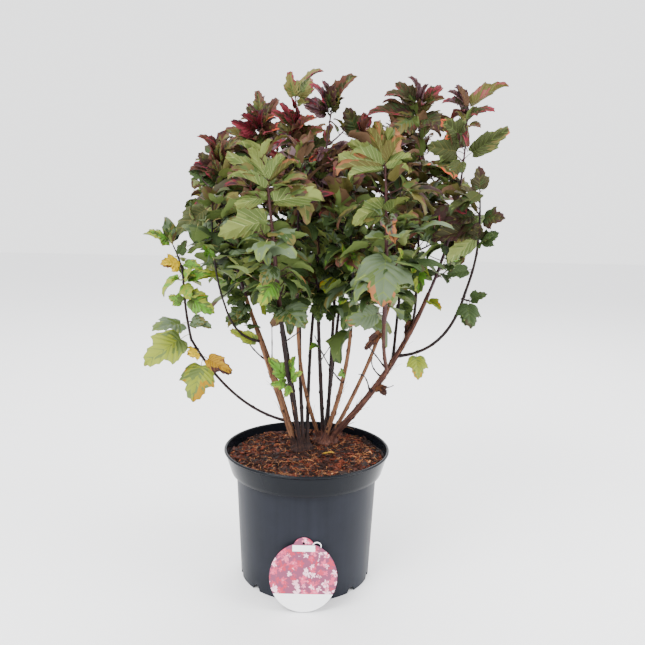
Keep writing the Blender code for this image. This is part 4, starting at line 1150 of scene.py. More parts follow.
def pot_profile():
    """The pot's (radius, height) pairs: under its floor, round its foot, then up, over and down inside."""
    lip_foot = POT_HEIGHT - POT_LIP_HEIGHT
    band_top = POT_LIP_RADIUS - LIP_OVERHANG
    inner = POT_FOOT_RADIUS - POT_WALL
    roll = POT_LIP_HEIGHT / 2
    under = [(0.0004, 0.0004), (0.03, 0.0004), (0.032, 0.0), (0.06, 0.0), (0.062, 0.0),
             (FOOT_CHANNEL_INNER - 0.001, 0.0),
             (FOOT_CHANNEL_INNER + 0.0018, FOOT_CHANNEL_HEIGHT - 0.0018),
             (FOOT_CHANNEL_INNER + 0.0036, FOOT_CHANNEL_HEIGHT), (inner - 0.002, FOOT_CHANNEL_HEIGHT)]
    foot = [(inner, FOOT_CHANNEL_HEIGHT - 0.002), (inner, 0.0004), (inner + 0.0004, 0.0),
            (POT_FOOT_RADIUS - 0.0004, 0.0), (POT_FOOT_RADIUS, 0.0004)]
    upper = [(wall_radius(height), height) for height in np.linspace(NOTCHED_BELOW, BAND_FOOT - 0.002, 24)]
    upper += arc((POT_BODY_TOP_RADIUS + 0.002, BAND_FOOT - 0.002), 0.002, 180, 90, 5)
    upper.append((POT_BAND_FOOT_RADIUS - BAND_EDGE, BAND_FOOT))
    upper += arc((POT_BAND_FOOT_RADIUS - BAND_EDGE, BAND_FOOT + BAND_EDGE), BAND_EDGE, -90, 0, 6)
    slope = (band_top - POT_BAND_FOOT_RADIUS) / (lip_foot - BAND_FOOT)
    upper += [(POT_BAND_FOOT_RADIUS + (height - BAND_FOOT) * slope, height)
              for height in np.linspace(BAND_FOOT + 2 * BAND_EDGE, lip_foot - 0.001, 8)]
    upper += arc((POT_LIP_RADIUS - roll, lip_foot + roll), roll, -120, 170, 18)
    upper += [(band_top - POT_WALL, lip_foot), (POT_BAND_FOOT_RADIUS - POT_WALL, BAND_FOOT + 0.0035),
              (POT_BODY_TOP_RADIUS - POT_WALL, BAND_FOOT + 0.002),
              (wall_radius(0.012) - POT_WALL, 0.012), (FOOT_CHANNEL_INNER, 0.012),
              (FOOT_CHANNEL_INNER - POT_WALL, POT_FLOOR), (0.0004, POT_FLOOR)]
    return under, foot, upper


class SHRUB_OT_pot(bpy.types.Operator):
    """The nursery pot: its profile turned, with arched notches along the foot"""

    bl_idname = "shrub.pot"
    bl_label = "Pot"

    def execute(self, context):
        under, foot, upper = pot_profile()
        profile = np.array(under + foot + upper)
        turns = ring(POT_COLUMNS)
        radius, height = (np.repeat(profile[:, k:k + 1], POT_COLUMNS, axis=1) for k in (0, 1))
        notched = height[len(under):len(under) + len(foot)]
        notched += np.clip(1 - notched / NOTCHED_BELOW, 0.0, 1.0) * (NOTCH_HEIGHT * notch(turns))
        points = turned(radius, turns, height)
        heap = Heap()
        heap.add(points, skin(len(profile), POT_COLUMNS))
        heap.lid(points[0], -1)
        heap.lid(points[-1])
        pot = heap.piece("nursery_pot", [pot_plastic()], 35.0)
        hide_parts("pot")
        return {"FINISHED"}


def notch(turns):
    """How far the foot is cut away: 1 inside a notch, falling to 0 over its rounded sides."""
    pitch = math.tau / NOTCH_COUNT
    off = (turns % pitch - pitch / 2) * POT_FOOT_RADIUS / (NOTCH_WIDTH / 2)
    return np.sqrt(np.clip(1 - np.abs(off) ** 3.2, 0.0, 1.0))


def compost_height(x, y):
    """Flat in the middle, sinking to the wall, rough at three scales."""
    place = np.stack([x, y], axis=-1) + 1.0
    slope = COMPOST_DROP_RADIUS - COMPOST_FLAT_RADIUS
    fall = np.clip((np.hypot(x, y) - COMPOST_FLAT_RADIUS) / slope, 0.0, 1.0)
    rough = (field(place, 0.021, 5) - 0.5) * 0.0050
    rough += (field(place, 0.0075, 6) - 0.5) * 0.0036
    rough += (field(place, 0.0028, 7) - 0.5) * 0.0018
    return COMPOST_LEVEL - COMPOST_EDGE_DROP * fall + rough


def speckled(name, colour, other, roughness):
    """A rough finish between two colours, mottled by noise, with a bump of the same noise."""
    finish = Finish(name, colour, roughness, Specular_IOR_Level=0.12)
    cloud = finish.noise(finish.place(), 420.0, 4.0, 0.65)
    finish.feed("Base Color", finish.mix(finish.stretch(cloud, 0.35, 0.65), colour, other))
    finish.bump(cloud, 0.0005, 0.8)
    return finish


class SHRUB_OT_compost(bpy.types.Operator):
    """The compost: a rough bed with bark chips and fibres on it"""

    bl_idname = "shrub.compost"
    bl_label = "Compost"

    def execute(self, context):
        colours = look("pot")
        red, brown, pale, soil = colours.bark_red, colours.bark_brown, colours.bark_pale, colours.soil
        bed = compost_bed(red, brown, soil)
        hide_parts("compost")
        tones = [speckled(*tone) for tone in (
            ("chip_red", red, brown, 0.85), ("chip_brown", brown, soil, 0.9),
            ("chip_dark", soil, brown, 0.9), ("chip_pale", pale, red, 0.8))]
        bark_chips(colours.chip_length, tones)
        fibres(tones)
        return {"FINISHED"}


def compost_bed(red, brown, soil):
    """Radius grows with the row and the turn with the column; the height is compost_height."""
    turns = ring(COMPOST_COLUMNS)
    points = turned(np.linspace(0.0005, COMPOST_RADIUS, COMPOST_ROWS)[:, None], turns, 0.0)
    points[..., 2] = compost_height(points[..., 0], points[..., 1])
    heap = Heap()
    heap.add(points, skin(COMPOST_ROWS, COMPOST_COLUMNS))
    heap.lid(points[0], -1)
    ledge = BAND_FOOT + 0.004
    clear = POT_WALL + 0.0012
    low = np.array([(POT_BAND_FOOT_RADIUS - clear - 0.001, ledge), (wall_radius(ledge) - clear, ledge),
                    (wall_radius(0.014) - clear, 0.014), (0.0860, 0.0140), (0.0850, POT_FLOOR + GAP),
                    (0.0005, POT_FLOOR + GAP)])
    side = np.concatenate([points[-1:], turned(low[:, :1], turns, low[:, 1:])])
    heap.add(side, skin(len(side), COMPOST_COLUMNS))
    heap.lid(side[-1])
    finish = Finish("compost_bed", brown, 0.95)
    place = finish.place()
    crumbs = finish.noise(place, 260.0, 5.0, 0.7)
    patches = finish.noise(place, 45.0)
    shade = finish.mix(finish.stretch(crumbs, 0.38, 0.66), soil, brown)
    finish.feed("Base Color", finish.mix(finish.stretch(patches, 0.5, 0.68) * 0.6, shade, red))
    finish.bump(crumbs, 0.002)
    return heap.piece("compost_bed", [finish], 60.0)


def bark_chips(length, tones):
    """Split chips: a box with its corners drawn in at random, turned and tilted, on the bed."""
    rng = default_rng(41)
    count = CHIP_COUNT
    radius = LOOSE_RADIUS * np.sqrt(rng.random(count))
    turn = rng.uniform(0, math.tau, count)
    x, y = radius * np.cos(turn), radius * np.sin(turn)
    size = np.clip(length * rng.lognormal(-0.35, 0.42, count), 0.0018, 0.0120)
    box = np.array(list(itertools.product((-0.5, 0.5), repeat=3)))
    box = box[None] * (1 + rng.uniform(-0.38, 0.30, (count, 8, 3)))
    box *= np.stack([size, size * rng.uniform(0.25, 0.6, count), size * rng.uniform(0.12, 0.3, count)],
                    axis=1)[:, None]
    yaw = rng.uniform(0, math.tau, count)
    pitch, roll = rng.normal(0, 0.35, (2, count))
    for angle, first, second in ((roll, 1, 2), (pitch, 2, 0), (yaw, 0, 1)):
        cosine, sine = np.cos(angle)[:, None], np.sin(angle)[:, None]
        a, b = box[..., first], box[..., second]
        box[..., first], box[..., second] = a * cosine - b * sine, a * sine + b * cosine
    z = compost_height(x, y) + size * 0.10 + rng.uniform(-0.0004, 0.0014, count)
    points = box + np.stack([x, y, z], axis=1)[:, None]
    reach = np.linalg.norm(points[..., :2], axis=2).max(axis=1)
    faces = np.array([(0, 1, 3, 2), (4, 6, 7, 5), (0, 4, 5, 1), (2, 3, 7, 6), (0, 2, 6, 4), (1, 5, 7, 3)])
    choice = rng.choice(4, count, p=(0.38, 0.22, 0.32, 0.08))
    near_stool = np.hypot((x + 0.024) * 0.55, y + 0.018) < 0.036
    near_stool |= field(np.stack([x, y], axis=1) + 1.0, 0.022, 12) > 0.64
    choice[near_stool] = rng.choice(3, near_stool.sum(), p=(0.08, 0.27, 0.65))
    heap = Heap()
    for chip in np.flatnonzero(reach < CHIP_REACH):
        heap.add(points[chip], faces, choice[chip])
    return heap.piece("bark_chips", tones, 30.0)


def fibres(tones):
    """Thin strands that wander over the bed: a straight run plus two sine waves sideways."""
    rng = default_rng(43)
    heap = Heap()
    t = np.linspace(-0.5, 0.5, 9)
    for _ in range(FIBRE_COUNT):
        length = rng.uniform(0.008, 0.034)
        turn = rng.uniform(0, math.tau)
        centre = FIBRE_SPREAD * math.sqrt(rng.random()) * heading(turn)[:2]
        x, y, _ = heading(rng.uniform(0, math.tau))
        sway = 0.12 * np.sin(6 * t + rng.uniform(0, 6)) + 0.05 * np.sin(14 * t + rng.uniform(0, 6))
        flat = centre + length * (t[:, None] * (x, y) + sway[:, None] * (-y, x))
        lift = 0.0014 + 0.0016 * rng.random() * (1 + np.sin(5 * t + rng.uniform(0, 6)))
        path = np.column_stack([flat, compost_height(*flat.T) + lift])
        if np.hypot(*flat.T).max() <= LOOSE_RADIUS:
            points, faces, _ = tube(path, np.linspace(0.00034, 0.00018, 9), 4)
            heap.add(points, faces, int(rng.choice(4, p=(0.35, 0.2, 0.1, 0.35))))
    return heap.piece("compost_fibres", tones, 60.0)


def bark_finish(name, colour, furrow, light_share, depth, roughness=0.78):
    """Strips along the limb: noise drawn out along the grain, furrows darker, with fine pores."""
    finish = Finish(name, colour, roughness, Specular_IOR_Level=0.18)
    strips = finish.noise(finish.grain(900.0, 900.0, 34.0), 1.0, 4.0, 0.6)
    patches = finish.noise(finish.grain(160.0, 160.0, 60.0), 1.0)
    fine = finish.noise(finish.place(), 1400.0, 2.0)
    share = finish.stretch(strips * 0.7 + patches * 0.3, 0.5 - light_share, 0.62)
    finish.feed("Base Color", finish.mix(share, furrow, colour))
    finish.bump(strips * 0.8 + fine * 0.2, depth, 0.9)
    return finish


@functools.lru_cache(maxsize=None)
def barks():
    colours = look("bark")
    return {name: bark_finish(name, *settings) for name, *settings in (
        ("tan_bark", colours.tan, colours.tan_dark, 0.10, 0.0011),
        ("dark_bark", colours.dark_light, colours.dark, -0.02, 0.0007, 0.62),
        ("red_bark", colours.red, colours.red_dark, 0.06, 0.0010),
        ("mossy_bark", colours.tan_dark, colours.dark, 0.02, 0.0012, 0.9))}


class SHRUB_OT_limbs(bpy.types.Operator):
    """The stems and boughs: tapering tubes with ridges, swollen nodes and old leaf scars"""

    bl_idname = "shrub.limbs"
    bl_label = "Stems and boughs"

    def execute(self, context):
        for number, (name, (coarse, _, row)) in enumerate(crown()[0].items()):
            limb = limb_piece(coarse, row, default_rng(700 + number))
            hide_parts(name)
        return {"FINISHED"}


def limb_piece(coarse, row, rng):
    """Ridges are sine waves round the limb that drift along it; a node is a bell curve along it, with
    a scar that is another one round it."""
    length = np.linalg.norm(np.diff(coarse, axis=0), axis=1).sum()
    steps = int(length / BARK_RING_SPACING)
    forked = row.holder not in STOOLS and row.place < 1
    path, radii = sunk(through(coarse[0], np.array(row.middle), coarse[-1], steps),
                       np.linspace(row.foot_radius, row.tip_radius, steps + 1),
                       row.foot_radius * 1.6 if forked else FOOT_SUNK)
    share = np.linspace(0.0, 1.0, len(path))[:, None]
    turns = ring(BARK_SIDES)[None]
    relief, dark = np.zeros((2, len(path), BARK_SIDES))
    for ridges, height in ((3, 0.050), (5, 0.040), (8, 0.030)):
        drift = rng.uniform(-3, 3) * share + 0.5 * np.sin(9 * share + rng.uniform(0, 6))
        relief += height * np.sin(ridges * turns + rng.uniform(0, 6) + drift)
    nodes = np.arange(0.06, 1.0, 0.030 / length) + rng.uniform(-0.01, 0.01)
    turn = rng.uniform(0, 6)
    for node in nodes:
        near = np.exp(-(((share - node) * length / 0.0022) ** 2))
        facing = np.exp(-((np.angle(np.exp(1j * (turns - turn))) / 0.7) ** 2))
        relief += near * (0.07 + 0.30 * facing)
        dark += near * (0.25 + facing)
        turn += GOLDEN_TURN
    if forked:
        relief += 0.35 * np.exp(-share * length / 0.010)
    heap = Heap()
    slots = np.append((dark[:-1] > 0.62).ravel(), (0, 0)).astype(int)
    heap.add_tube(path, radii, BARK_SIDES, slots, relief)
    return heap.piece(row.name + "_bark", [barks()[row.bark], barks()["mossy_bark"]], 50.0)


class SHRUB_OT_stools(bpy.types.Operator):
    """The two stools: lobed mounds with a flared stub below each stem and strips of loose bark"""

    bl_idname = "shrub.stools"
    bl_label = "Stools"

    def execute(self, context):
        limbs = crown()[0]
        for name, centre in STOOLS.items():
            stool = stool_piece(name, centre, limbs)
            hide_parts(name)
        loose_bark(limbs)
        return {"FINISHED"}


def stool_piece(name, centre, limbs):
    """The mound's radius falls with the row as a rounded cap and swells with its lobes."""
    rng = default_rng(len(name))
    rows, columns = 22, 60
    rise = np.linspace(0.0, 1.0, rows)[:, None]
    turns = ring(columns)[None]
    wide = STOOL_RADIUS * np.sqrt(np.clip(1 - rise**2.2, 0.0, 1.0)) * 0.98 + 0.0004
    wide = wide * (1 + LOBE_SWELL * np.cos(STOOL_LOBES[name] * turns))
    place = np.stack(np.broadcast_arrays(turns * 0.02, rise * 0.02), axis=2)
    wide = wide * (1 + 0.16 * (field(place + 0.5, 0.006, 9) - 0.5) + 0.10 * (field(place, 0.002, 8) - 0.5))
    grain = turned(wide, turns, COMPOST_LEVEL + GAP + STOOL_HEIGHT * 1.05 * rise)
    points = grain + (*centre, 0.0)
    heap = Heap()
    heap.add(points, skin(rows, columns), 0, grain)
    heap.lid(points[0], -1)
    heap.lid(points[-1])
    depth = np.linspace(STUB_RISE + STOOL_HEIGHT * 0.75, -0.004, 16)
    flare = np.interp(depth, (-0.004, 0.0, STUB_RISE / 2, STUB_RISE, STUB_RISE + STOOL_HEIGHT),
                      (1.02, 1.06, 1.18, 1.45, 2.2))
    turn = ring(BARK_SIDES)[None]
    for stem in LIMBS:
        if stem.holder == name:
            path = limbs[stem.name][0]
            relief = 0.08 * np.sin(5 * turn + rng.uniform(0, 6))
            relief = relief + 0.05 * np.sin(9 * turn + depth[:, None] * 300)
            stub = path[0] - depth[:, None] * directions(path)[0]
            heap.add_tube(stub, stem.foot_radius * flare, BARK_SIDES, 0, relief)
    finish = barks()["red_bark" if name == "right_stool" else "mossy_bark"]
    return heap.piece(name + "_bark", [finish], 60.0)


def loose_bark(limbs):
    """Loose strips of old bark: narrow ribbons that lie along a stem and curl away at one end."""
    rng = default_rng(51)
    heap = Heap()
    for name, count, top in LOOSE_BARK:
        path, _, row = limbs[name]
        fine = through(path[0], np.array(row.middle), path[-1], LOOSE_BARK_STEPS)
        along = directions(fine)
        for _ in range(count):
            start = int(LOOSE_BARK_STEPS * (top / 100) * rng.random() ** 1.3)
            steps = rng.integers(5, 14)
            centre = fine[start:start + steps * 2:2]
            across = unit(np.cross(along[start], rng.normal(size=3)))
            out = np.cross(across, along[start])
            t = np.linspace(0, 1, len(centre))[:, None]
            radius = np.interp(start / LOOSE_BARK_STEPS, (0, 1), (row.foot_radius, row.tip_radius))
            curl = rng.uniform(0.4, 2.6) * radius * t**2.2
            lie = centre + out * (radius * 1.03 + curl)
            half = rng.uniform(0.0004, 0.0011) * (1 - 0.6 * t)
            lift = out * 0.00022
            grid = np.stack([lie - across * half, lie + lift, lie + across * half, lie - lift], axis=1)
            heap.add(grid, skin(len(centre), 4), 0, grid)
    return heap.piece("loose_bark", [barks()["tan_bark"]], 80.0)


# The outline of half a leaf, lobed and plain: across, along, and where its vein leaves the midrib
LOBED_HALF = ((0.030, 0.00, 0.00), (0.16, -0.04, 0.01), (0.30, 0.03, 0.03), (0.36, 0.18, 0.05),
              (0.42, 0.36, 0.09), (0.42, 0.50, 0.16), (0.26, 0.54, 0.26), (0.24, 0.70, 0.44),
              (0.15, 0.87, 0.71), (0.004, 1.0, 1.0))
PLAIN_HALF = ((0.030, 0.00, 0.00), (0.13, 0.00, 0.02), (0.24, 0.08, 0.05), (0.31, 0.19, 0.11),
              (0.345, 0.32, 0.20), (0.335, 0.46, 0.32), (0.28, 0.60, 0.46), (0.21, 0.74, 0.61),
              (0.12, 0.88, 0.79), (0.004, 1.0, 1.0))


def dense(rows, count=97):
    """A smooth curve through the rows, as an even table: cubic pieces with matched slopes."""
    rows = np.array(rows)
    place = np.linspace(0, len(rows) - 1, count)
    low = np.clip(place.astype(int), 0, len(rows) - 2)
    t = (place - low)[:, None]
    slope = np.gradient(rows, axis=0)
    a, b = rows[low], rows[low + 1]
    return ((2 * t**3 - 3 * t**2 + 1) * a + (t**3 - 2 * t**2 + t) * slope[low]
            + (3 * t**2 - 2 * t**3) * b + (t**3 - t**2) * slope[low + 1])


LOBED = dense(LOBED_HALF)
PLAIN = dense(PLAIN_HALF)

# Regions of a leaf's faces, which a tint turns into colours
INNER, BLADE, MID, OUTER, VEIN, UNDER, UNDER_OUTER, UNDER_VEIN = range(8)


class LeafForm:
    """The grid of a leaf: rows that follow its side veins, columns from margin to margin."""

    def __init__(self, veins, columns, strip):
        self.strip = strip
        if strip:
            pitch = 1.0 / (veins + 0.6)
            centres = (np.arange(veins)[:, None] + 0.7) * pitch
            rows = centres + pitch * np.array([0.0, 0.0, 0.36, 0.70])
            self.rows = np.concatenate([[0.0], rows.ravel(), [1.0]])
            self.width, self.tooth, self.quilt = (np.pad(np.tile(pattern, veins), 1) for pattern in (
                (-0.007, 0.007, 0.0, 0.0), (1.0, 0.9, -0.9, 0.1), (0.0, 0.0, 1.0, 0.8)))
        else:
            odd = np.arange(veins + 1) % 2
            self.rows = np.linspace(0.0, 1.0, veins + 1)
            self.width = np.zeros(veins + 1)
            self.tooth = np.where(odd, 1.0, -0.9)
            self.tooth[[0, -1]] = 0.0
            self.quilt = np.where(odd, 0.0, 0.7)
        self.across = np.array(columns)
        self.under_across = np.array([-1.0, -0.55, -0.014, 0.014, 0.55, 1.0] if strip else [-1.0, 0.0, 1.0])
        upper = skin(len(self.rows), len(self.across), around=False)
        self.faces = np.concatenate([upper, self.faces_under()])
        self.below = np.arange(len(self.faces)) >= len(upper)
        self.places, self.veins, self.between = (
            np.concatenate([measure(self.across), measure(self.under_across)])
            for measure in (self.middles, self.vein_faces, self.between_veins))

    def faces_under(self):
        """The underside's quads, which share the margin's points with the upper side."""
        rows, columns = len(self.rows), len(self.under_across)
        upper = np.arange(rows * len(self.across)).reshape(rows, -1)
        inner = upper.size + np.arange(rows * (columns - 2)).reshape(rows, -1)
        grid = np.concatenate([upper[:, :1], inner, upper[:, -1:]], axis=1)
        return grid.ravel()[skin(rows, columns, around=False)][:, ::-1]

    def middles(self, across):
        """The middle of every face, as the share across and the share along."""
        along = (self.rows[1:] + self.rows[:-1]) / 2
        out = (across[1:] + across[:-1]) / 2
        return np.stack([np.tile(out, len(along)), np.repeat(along, len(out))], axis=1)

    def between_veins(self, across):
        """How far a face lies from its side veins, 1 being half way between two of them."""
        return np.repeat((self.quilt[1:] + self.quilt[:-1]) / 2, len(across) - 1)

    def vein_faces(self, across):
        """True on the midrib's strip and, on the finer form, on the side veins' strips."""
        vein = np.zeros((len(self.rows) - 1, len(across) - 1), bool)
        if len(across) > 3:
            vein[:, (len(across) - 1) // 2] = True
        if self.strip:
            vein[1:-1:4] = True
        return vein.ravel()


FINE_FORM = LeafForm(8, (-1.0, -0.82, -0.56, -0.28, -0.014, 0.014, 0.28, 0.56, 0.82, 1.0), True)
PLAIN_FORM = LeafForm(10, (-1.0, -0.62, -0.022, 0.022, 0.62, 1.0), False)


# A leaf's colours near the midrib, between, towards the edge and on it, of its veins, on its underside,
# its underside's edge and veins, and of its stalk. The edge's colour starts at a measure of edge: below
# 0 it covers the leaf, above 1 there is none
Tint = namedtuple("Tint", "inner blade mid outer vein under under_outer under_vein stalk edge")

TINTS = {name: Tint(*colours, edge / 100) for name, *colours, edge in table("""
deep deep deep deep dusk leaf soft soft pale red_twig 90
mossy moss moss deep dusk olive soft soft pale red_twig 88
green deep leaf deep grey soft soft leaf straw green_stalk 78
fresh leaf bright leaf lime bright pale soft straw green_stalk 72
grey deep grey deep olive soft soft grey straw red_twig 74
lime bright lime bright lime leaf pale soft straw green_stalk 74
turning soft lime soft ochre soft pale ochre soft green_stalk 90
yellow yellow yellow ochre brown lime yellow ochre ochre green_stalk 84
ochre ochre ochre brown umber brown ochre brown brown red_twig 66
dead brown brown umber umber fawn fawn brown brown red_twig 50
scorched grey grey leaf rust soft soft rust straw red_twig 84
dying dusk grey mauve rust mauve fawn rose rose red_twig 62
fan leaf grey olive olive straw soft pale straw red_twig 55
fan_tipped leaf olive bronze bronze straw olive rust pale red_twig 74
light leaf grey soft soft soft pale soft straw green_stalk 84
khaki leaf khaki olive fawn straw pale khaki straw red_twig 70
olive leaf olive dusk bronze grey soft fawn pale red_twig 68
dark_olive deep dusk dusk umber olive olive fawn soft purple_twig 66
bronze olive bronze purple crimson bronze fawn crimson wine red_twig 84
dark_bronze dusk umber purple crimson bronze fawn fawn wine purple_twig 80
purple dusk purple umber mauve wine fawn mauve wine purple_twig 62
mauve dusk mauve purple crimson wine mauve rose wine purple_twig 74
crimson bronze crimson purple umber bronze rose crimson bronze red_twig 78
flame olive bronze crimson orange bronze fawn rust wine red_twig 72
crimson_tipped leaf olive bronze crimson soft soft crimson pale red_twig 78
olive_tipped leaf khaki olive crimson soft soft crimson pale red_twig 74
orange_tipped moss moss olive orange soft soft orange pale red_twig 84
crimson_edged deep dusk bronze crimson wine fawn crimson wine red_twig 76
rosy leaf olive fawn rose wine olive rose soft red_twig 74
orange_edged moss dusk olive orange olive soft orange pale red_twig 72
""")}


def bands(rows):
    """Lines of the height in centimetres that a band starts at, then its tints and shares in percent."""
    return [(floor / 100, dict(zip(shares[::2], (part / 100 for part in shares[1::2]))))
            for floor, *shares in table(rows)]


# The tints dealt to a spray by the height of its leaves, each with its share, for each kind of mass
DEALS = {
    "bronze_leaves": bands("""
69 bronze 15 purple 12 dark_bronze 12 crimson_edged 16 olive 14 crimson 3 dark_olive 15 mauve 7 khaki 6
60 olive 22 bronze 12 dark_olive 24 dark_bronze 9 mossy 12 crimson_edged 6 mauve 5 khaki 7 light 3
53 deep 20 dark_olive 13 green 18 grey 20 olive 15 bronze 3 light 8
0 green 24 deep 18 grey 26 fresh 12 light 12 olive 8
"""),
    "green_leaves": bands("""
62 mossy 18 olive 25 dark_olive 26 green 6 bronze 18 khaki 7
50 green 28 deep 24 grey 22 fresh 6 olive 10 light 10
0 fresh 22 green 28 grey 22 light 16 deep 8 turning 4
"""),
    "pale_leaves": bands("""
60 khaki 14 olive 34 dark_olive 24 mossy 12 bronze 16
45 grey 32 green 26 deep 20 light 16 scorched 6
0 lime 40 grey 40 fresh 20
"""),
}
DEALS_OF_MASS = {
    "far_right_leaves": bands("0 dark_olive 50 mossy 45 green 5"),
    "far_left_leaves": bands("0 fresh 30 lime 40 turning 10 grey 20"),
}
YOUNG_DEALS = bands("""
70 purple 28 crimson_edged 24 dark_bronze 14 bronze 14 olive 10 crimson 4 mauve 6
58 olive 40 bronze 25 grey 35
0 fresh 50 green 20 lime 30
""")


def dealt(deals, height, rng):
    """A tint drawn from the shares of the highest band that the height reaches."""
    shares = next(shares for floor, shares in deals if height >= floor)
    return str(rng.choice(list(shares), p=np.array(list(shares.values())) / sum(shares.values())))


# How a leaf is bent: the lobing and width as shares, angles in radians, the rest in leaf lengths
Shape = namedtuple("Shape", "lobing width fold arch curl droop wave twist")


def shape_of(leaf, rng):
    """The upper leaves are narrower, more folded and more curled than the lower ones."""
    draw = rng.uniform
    if "young" in leaf:
        return Shape(0.3, draw(0.50, 0.75), draw(0.5, 1.1), draw(-0.2, 0.6), draw(0.4, 1.8), 0.2, 0.02,
                     draw(-0.8, 0.8))
    if "slender" in leaf:
        return Shape(*draw((0.3, 0.50, 0.3, -0.1, 0.2, 0.2, 0.015, -0.7),
                           (0.9, 0.85, 1.0, 0.8, 1.6, 0.8, 0.05, 0.7)))
    upper = np.clip((leaf["belly"][2] - 0.60) / 0.14, 0.0, 1.0)
    lobing = draw(0.65, 1.0) * (1 - 0.40 * upper)
    width = draw(0.82, 1.02) * (1 - 0.32 * upper)
    fold = draw(0.10, 0.65) + 0.45 * upper * rng.random()
    curl = draw(0.0, 0.9) + upper * draw(0.0, 1.0)
    shape = Shape(lobing, width, fold, draw(0.1, 0.9) + 0.2 * upper, curl,
                  draw(0.2, 0.9), draw(0.012, 0.04), draw(-0.5, 0.5))
    if "shown" in leaf:
        wide = leaf["shown"].wide
        slim = float(np.clip((1.0 - wide) / 0.4, 0.0, 1.0))
        broad = 0.30 + 0.50 * wide if leaf["shown"].facing == "back" else 0.44 + 0.56 * wide
        shape = shape._replace(width=broad, lobing=1.0 - 0.2 * slim, fold=0.22 + 0.5 * slim,
                               arch=0.35, curl=0.4 + 0.8 * slim, twist=0.7 * shape.twist)
    return shape


def leaf_points(form, shape, rng):
    """The leaf's grid before it is placed, its stalk's end at the origin and its tip at +Y.

    Along a row the point runs from the midrib to the outline. The midrib bends down by
    arch y + curl y^4, each half rises by sin(fold) and droops by the square of the way out.
    """
    outline = PLAIN + shape.lobing * (LOBED - PLAIN)
    scale = np.linspace(0.0, 1.0, len(outline))
    wave_turn = rng.uniform(0, 6)
    jag = rng.uniform(0.75, 1.25, len(form.rows))
    bend = np.linspace(0.0, 1.05, 22)
    angle = shape.arch * bend + shape.curl * bend**4
    middle = (angle[1:] + angle[:-1]) / 2
    run = np.concatenate([[0.0], np.cumsum(np.cos(middle) * bend[1])])
    fall = np.concatenate([[0.0], -np.cumsum(np.sin(middle) * bend[1])])
    layers = []
    for across in (form.across, form.under_across[1:-1]):
        out = np.abs(across)[None]
        rows = np.clip(form.rows[:, None] + form.width[:, None] * (1 - 0.8 * out), 0.0, 1.0)
        wide, far, near = (np.interp(rows, scale, outline[:, k]) for k in range(3))
        tooth = 0.021 * (form.tooth * jag)[:, None] * out**3
        x = (wide + tooth * 0.8) * shape.width * out * np.sign(across)
        y = near + (far + tooth * 0.7 - near) * out
        swell = form.quilt[:, None] * np.sin(math.pi * out) * 0.036
        if layers:
            body = 0.010 * np.clip(np.minimum(y, 1 - y) * 12, 0.0, 1.0)
            swell = swell - body * (1.6 if form.strip else 1.0)
        out = np.abs(x)
        lean = np.interp(y, bend, angle)
        ahead = np.interp(y, bend, run) + np.minimum(y, 0.0)
        down = np.interp(y, bend, fall)
        rise = out * math.sin(shape.fold) - shape.droop * out**2 + swell
        rise = rise + shape.wave * np.sin(14 * y + wave_turn + 1.5 * np.sign(x)) * (out / 0.35) ** 2
        aside = x * math.cos(shape.fold)
        turn = shape.twist * y
        side = aside * np.cos(turn) + rise * np.sin(turn)
        rise = rise * np.cos(turn) - aside * np.sin(turn)
        grid = np.stack([side, ahead + rise * np.sin(lean), down + rise * np.cos(lean)], axis=-1)
        layers.append(grid.reshape(-1, 3))
    x, y, z = np.concatenate(layers).T
    tip = np.interp(1.0, bend, run), np.interp(1.0, bend, fall)
    chord = np.hypot(*tip)
    cosine, sine = tip[0] / chord, tip[1] / chord
    return np.stack([x, y * cosine + z * sine, z * cosine - y * sine], axis=1) / max(chord, 0.75)


def leaf_regions(form, tint, rng):
    """The region of every face, by its measure: the way out and along, roughened by noise."""
    out, along = np.abs(form.places[:, 0]), form.places[:, 1]
    cloud = field(form.places * (0.5, 1.0) + rng.uniform(1, 9, 2), 0.26, 17)
    specks = field(form.places * (0.5, 1.0) + rng.uniform(1, 9, 2), 0.09, 18)
    measure = 0.40 * out**1.5 + 0.60 * along**2 + 0.75 * (cloud - 0.5) + 0.34 * (specks - 0.5)
    measure += 0.20 * (form.between - 0.4)
    edge = tint.edge + rng.uniform(-0.16, 0.04)
    regions = np.where(measure < 0.20, INNER, BLADE)
    regions[measure > edge - 0.10] = MID
    regions[measure > edge + 0.03] = OUTER
    regions[form.below] = np.where(measure > edge, UNDER_OUTER, UNDER)[form.below]
    veins = form.veins & (measure < edge + 0.05)
    regions[veins] = np.where(form.below, UNDER_VEIN, VEIN)[veins]
    return regions


class SHRUB_OT_leaves(bpy.types.Operator):
    """The leaves: lobed, toothed and folded blades in sprays, each spray dealt its tint"""

    bl_idname = "shrub.leaves"
    bl_label = "Leaves"

    def execute(self, context):
        names = list(ShrubLeafLook.__annotations__)
        finishes = [leaf_finish(name, getattr(look("leaves"), name)) for name in names]
        growths = crown()[2]
        detailed = detailed_leaves([leaf for growth in growths for leaf in growth.leaves])
        for name, kind, low, high in (
            ("green_leaves", "green_leaves", -1, 1), ("pale_leaves", "pale_leaves", -1, 1),
            ("bronze_leaves_left", "bronze_leaves", -1, 0), ("bronze_leaves_right", "bronze_leaves", 0, 1),
        ):
            heap = Heap()
            masses = [mass for mass in MASSES if mass.leaves == kind and low <= mass.top[0] < high]
            for growth in growths:
                if growth.mass in masses:
                    sprays(heap, growth, names, detailed)
            piece = heap.piece(name, finishes, 100.0)
            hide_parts(*[mass.name for mass in masses])
        return {"FINISHED"}


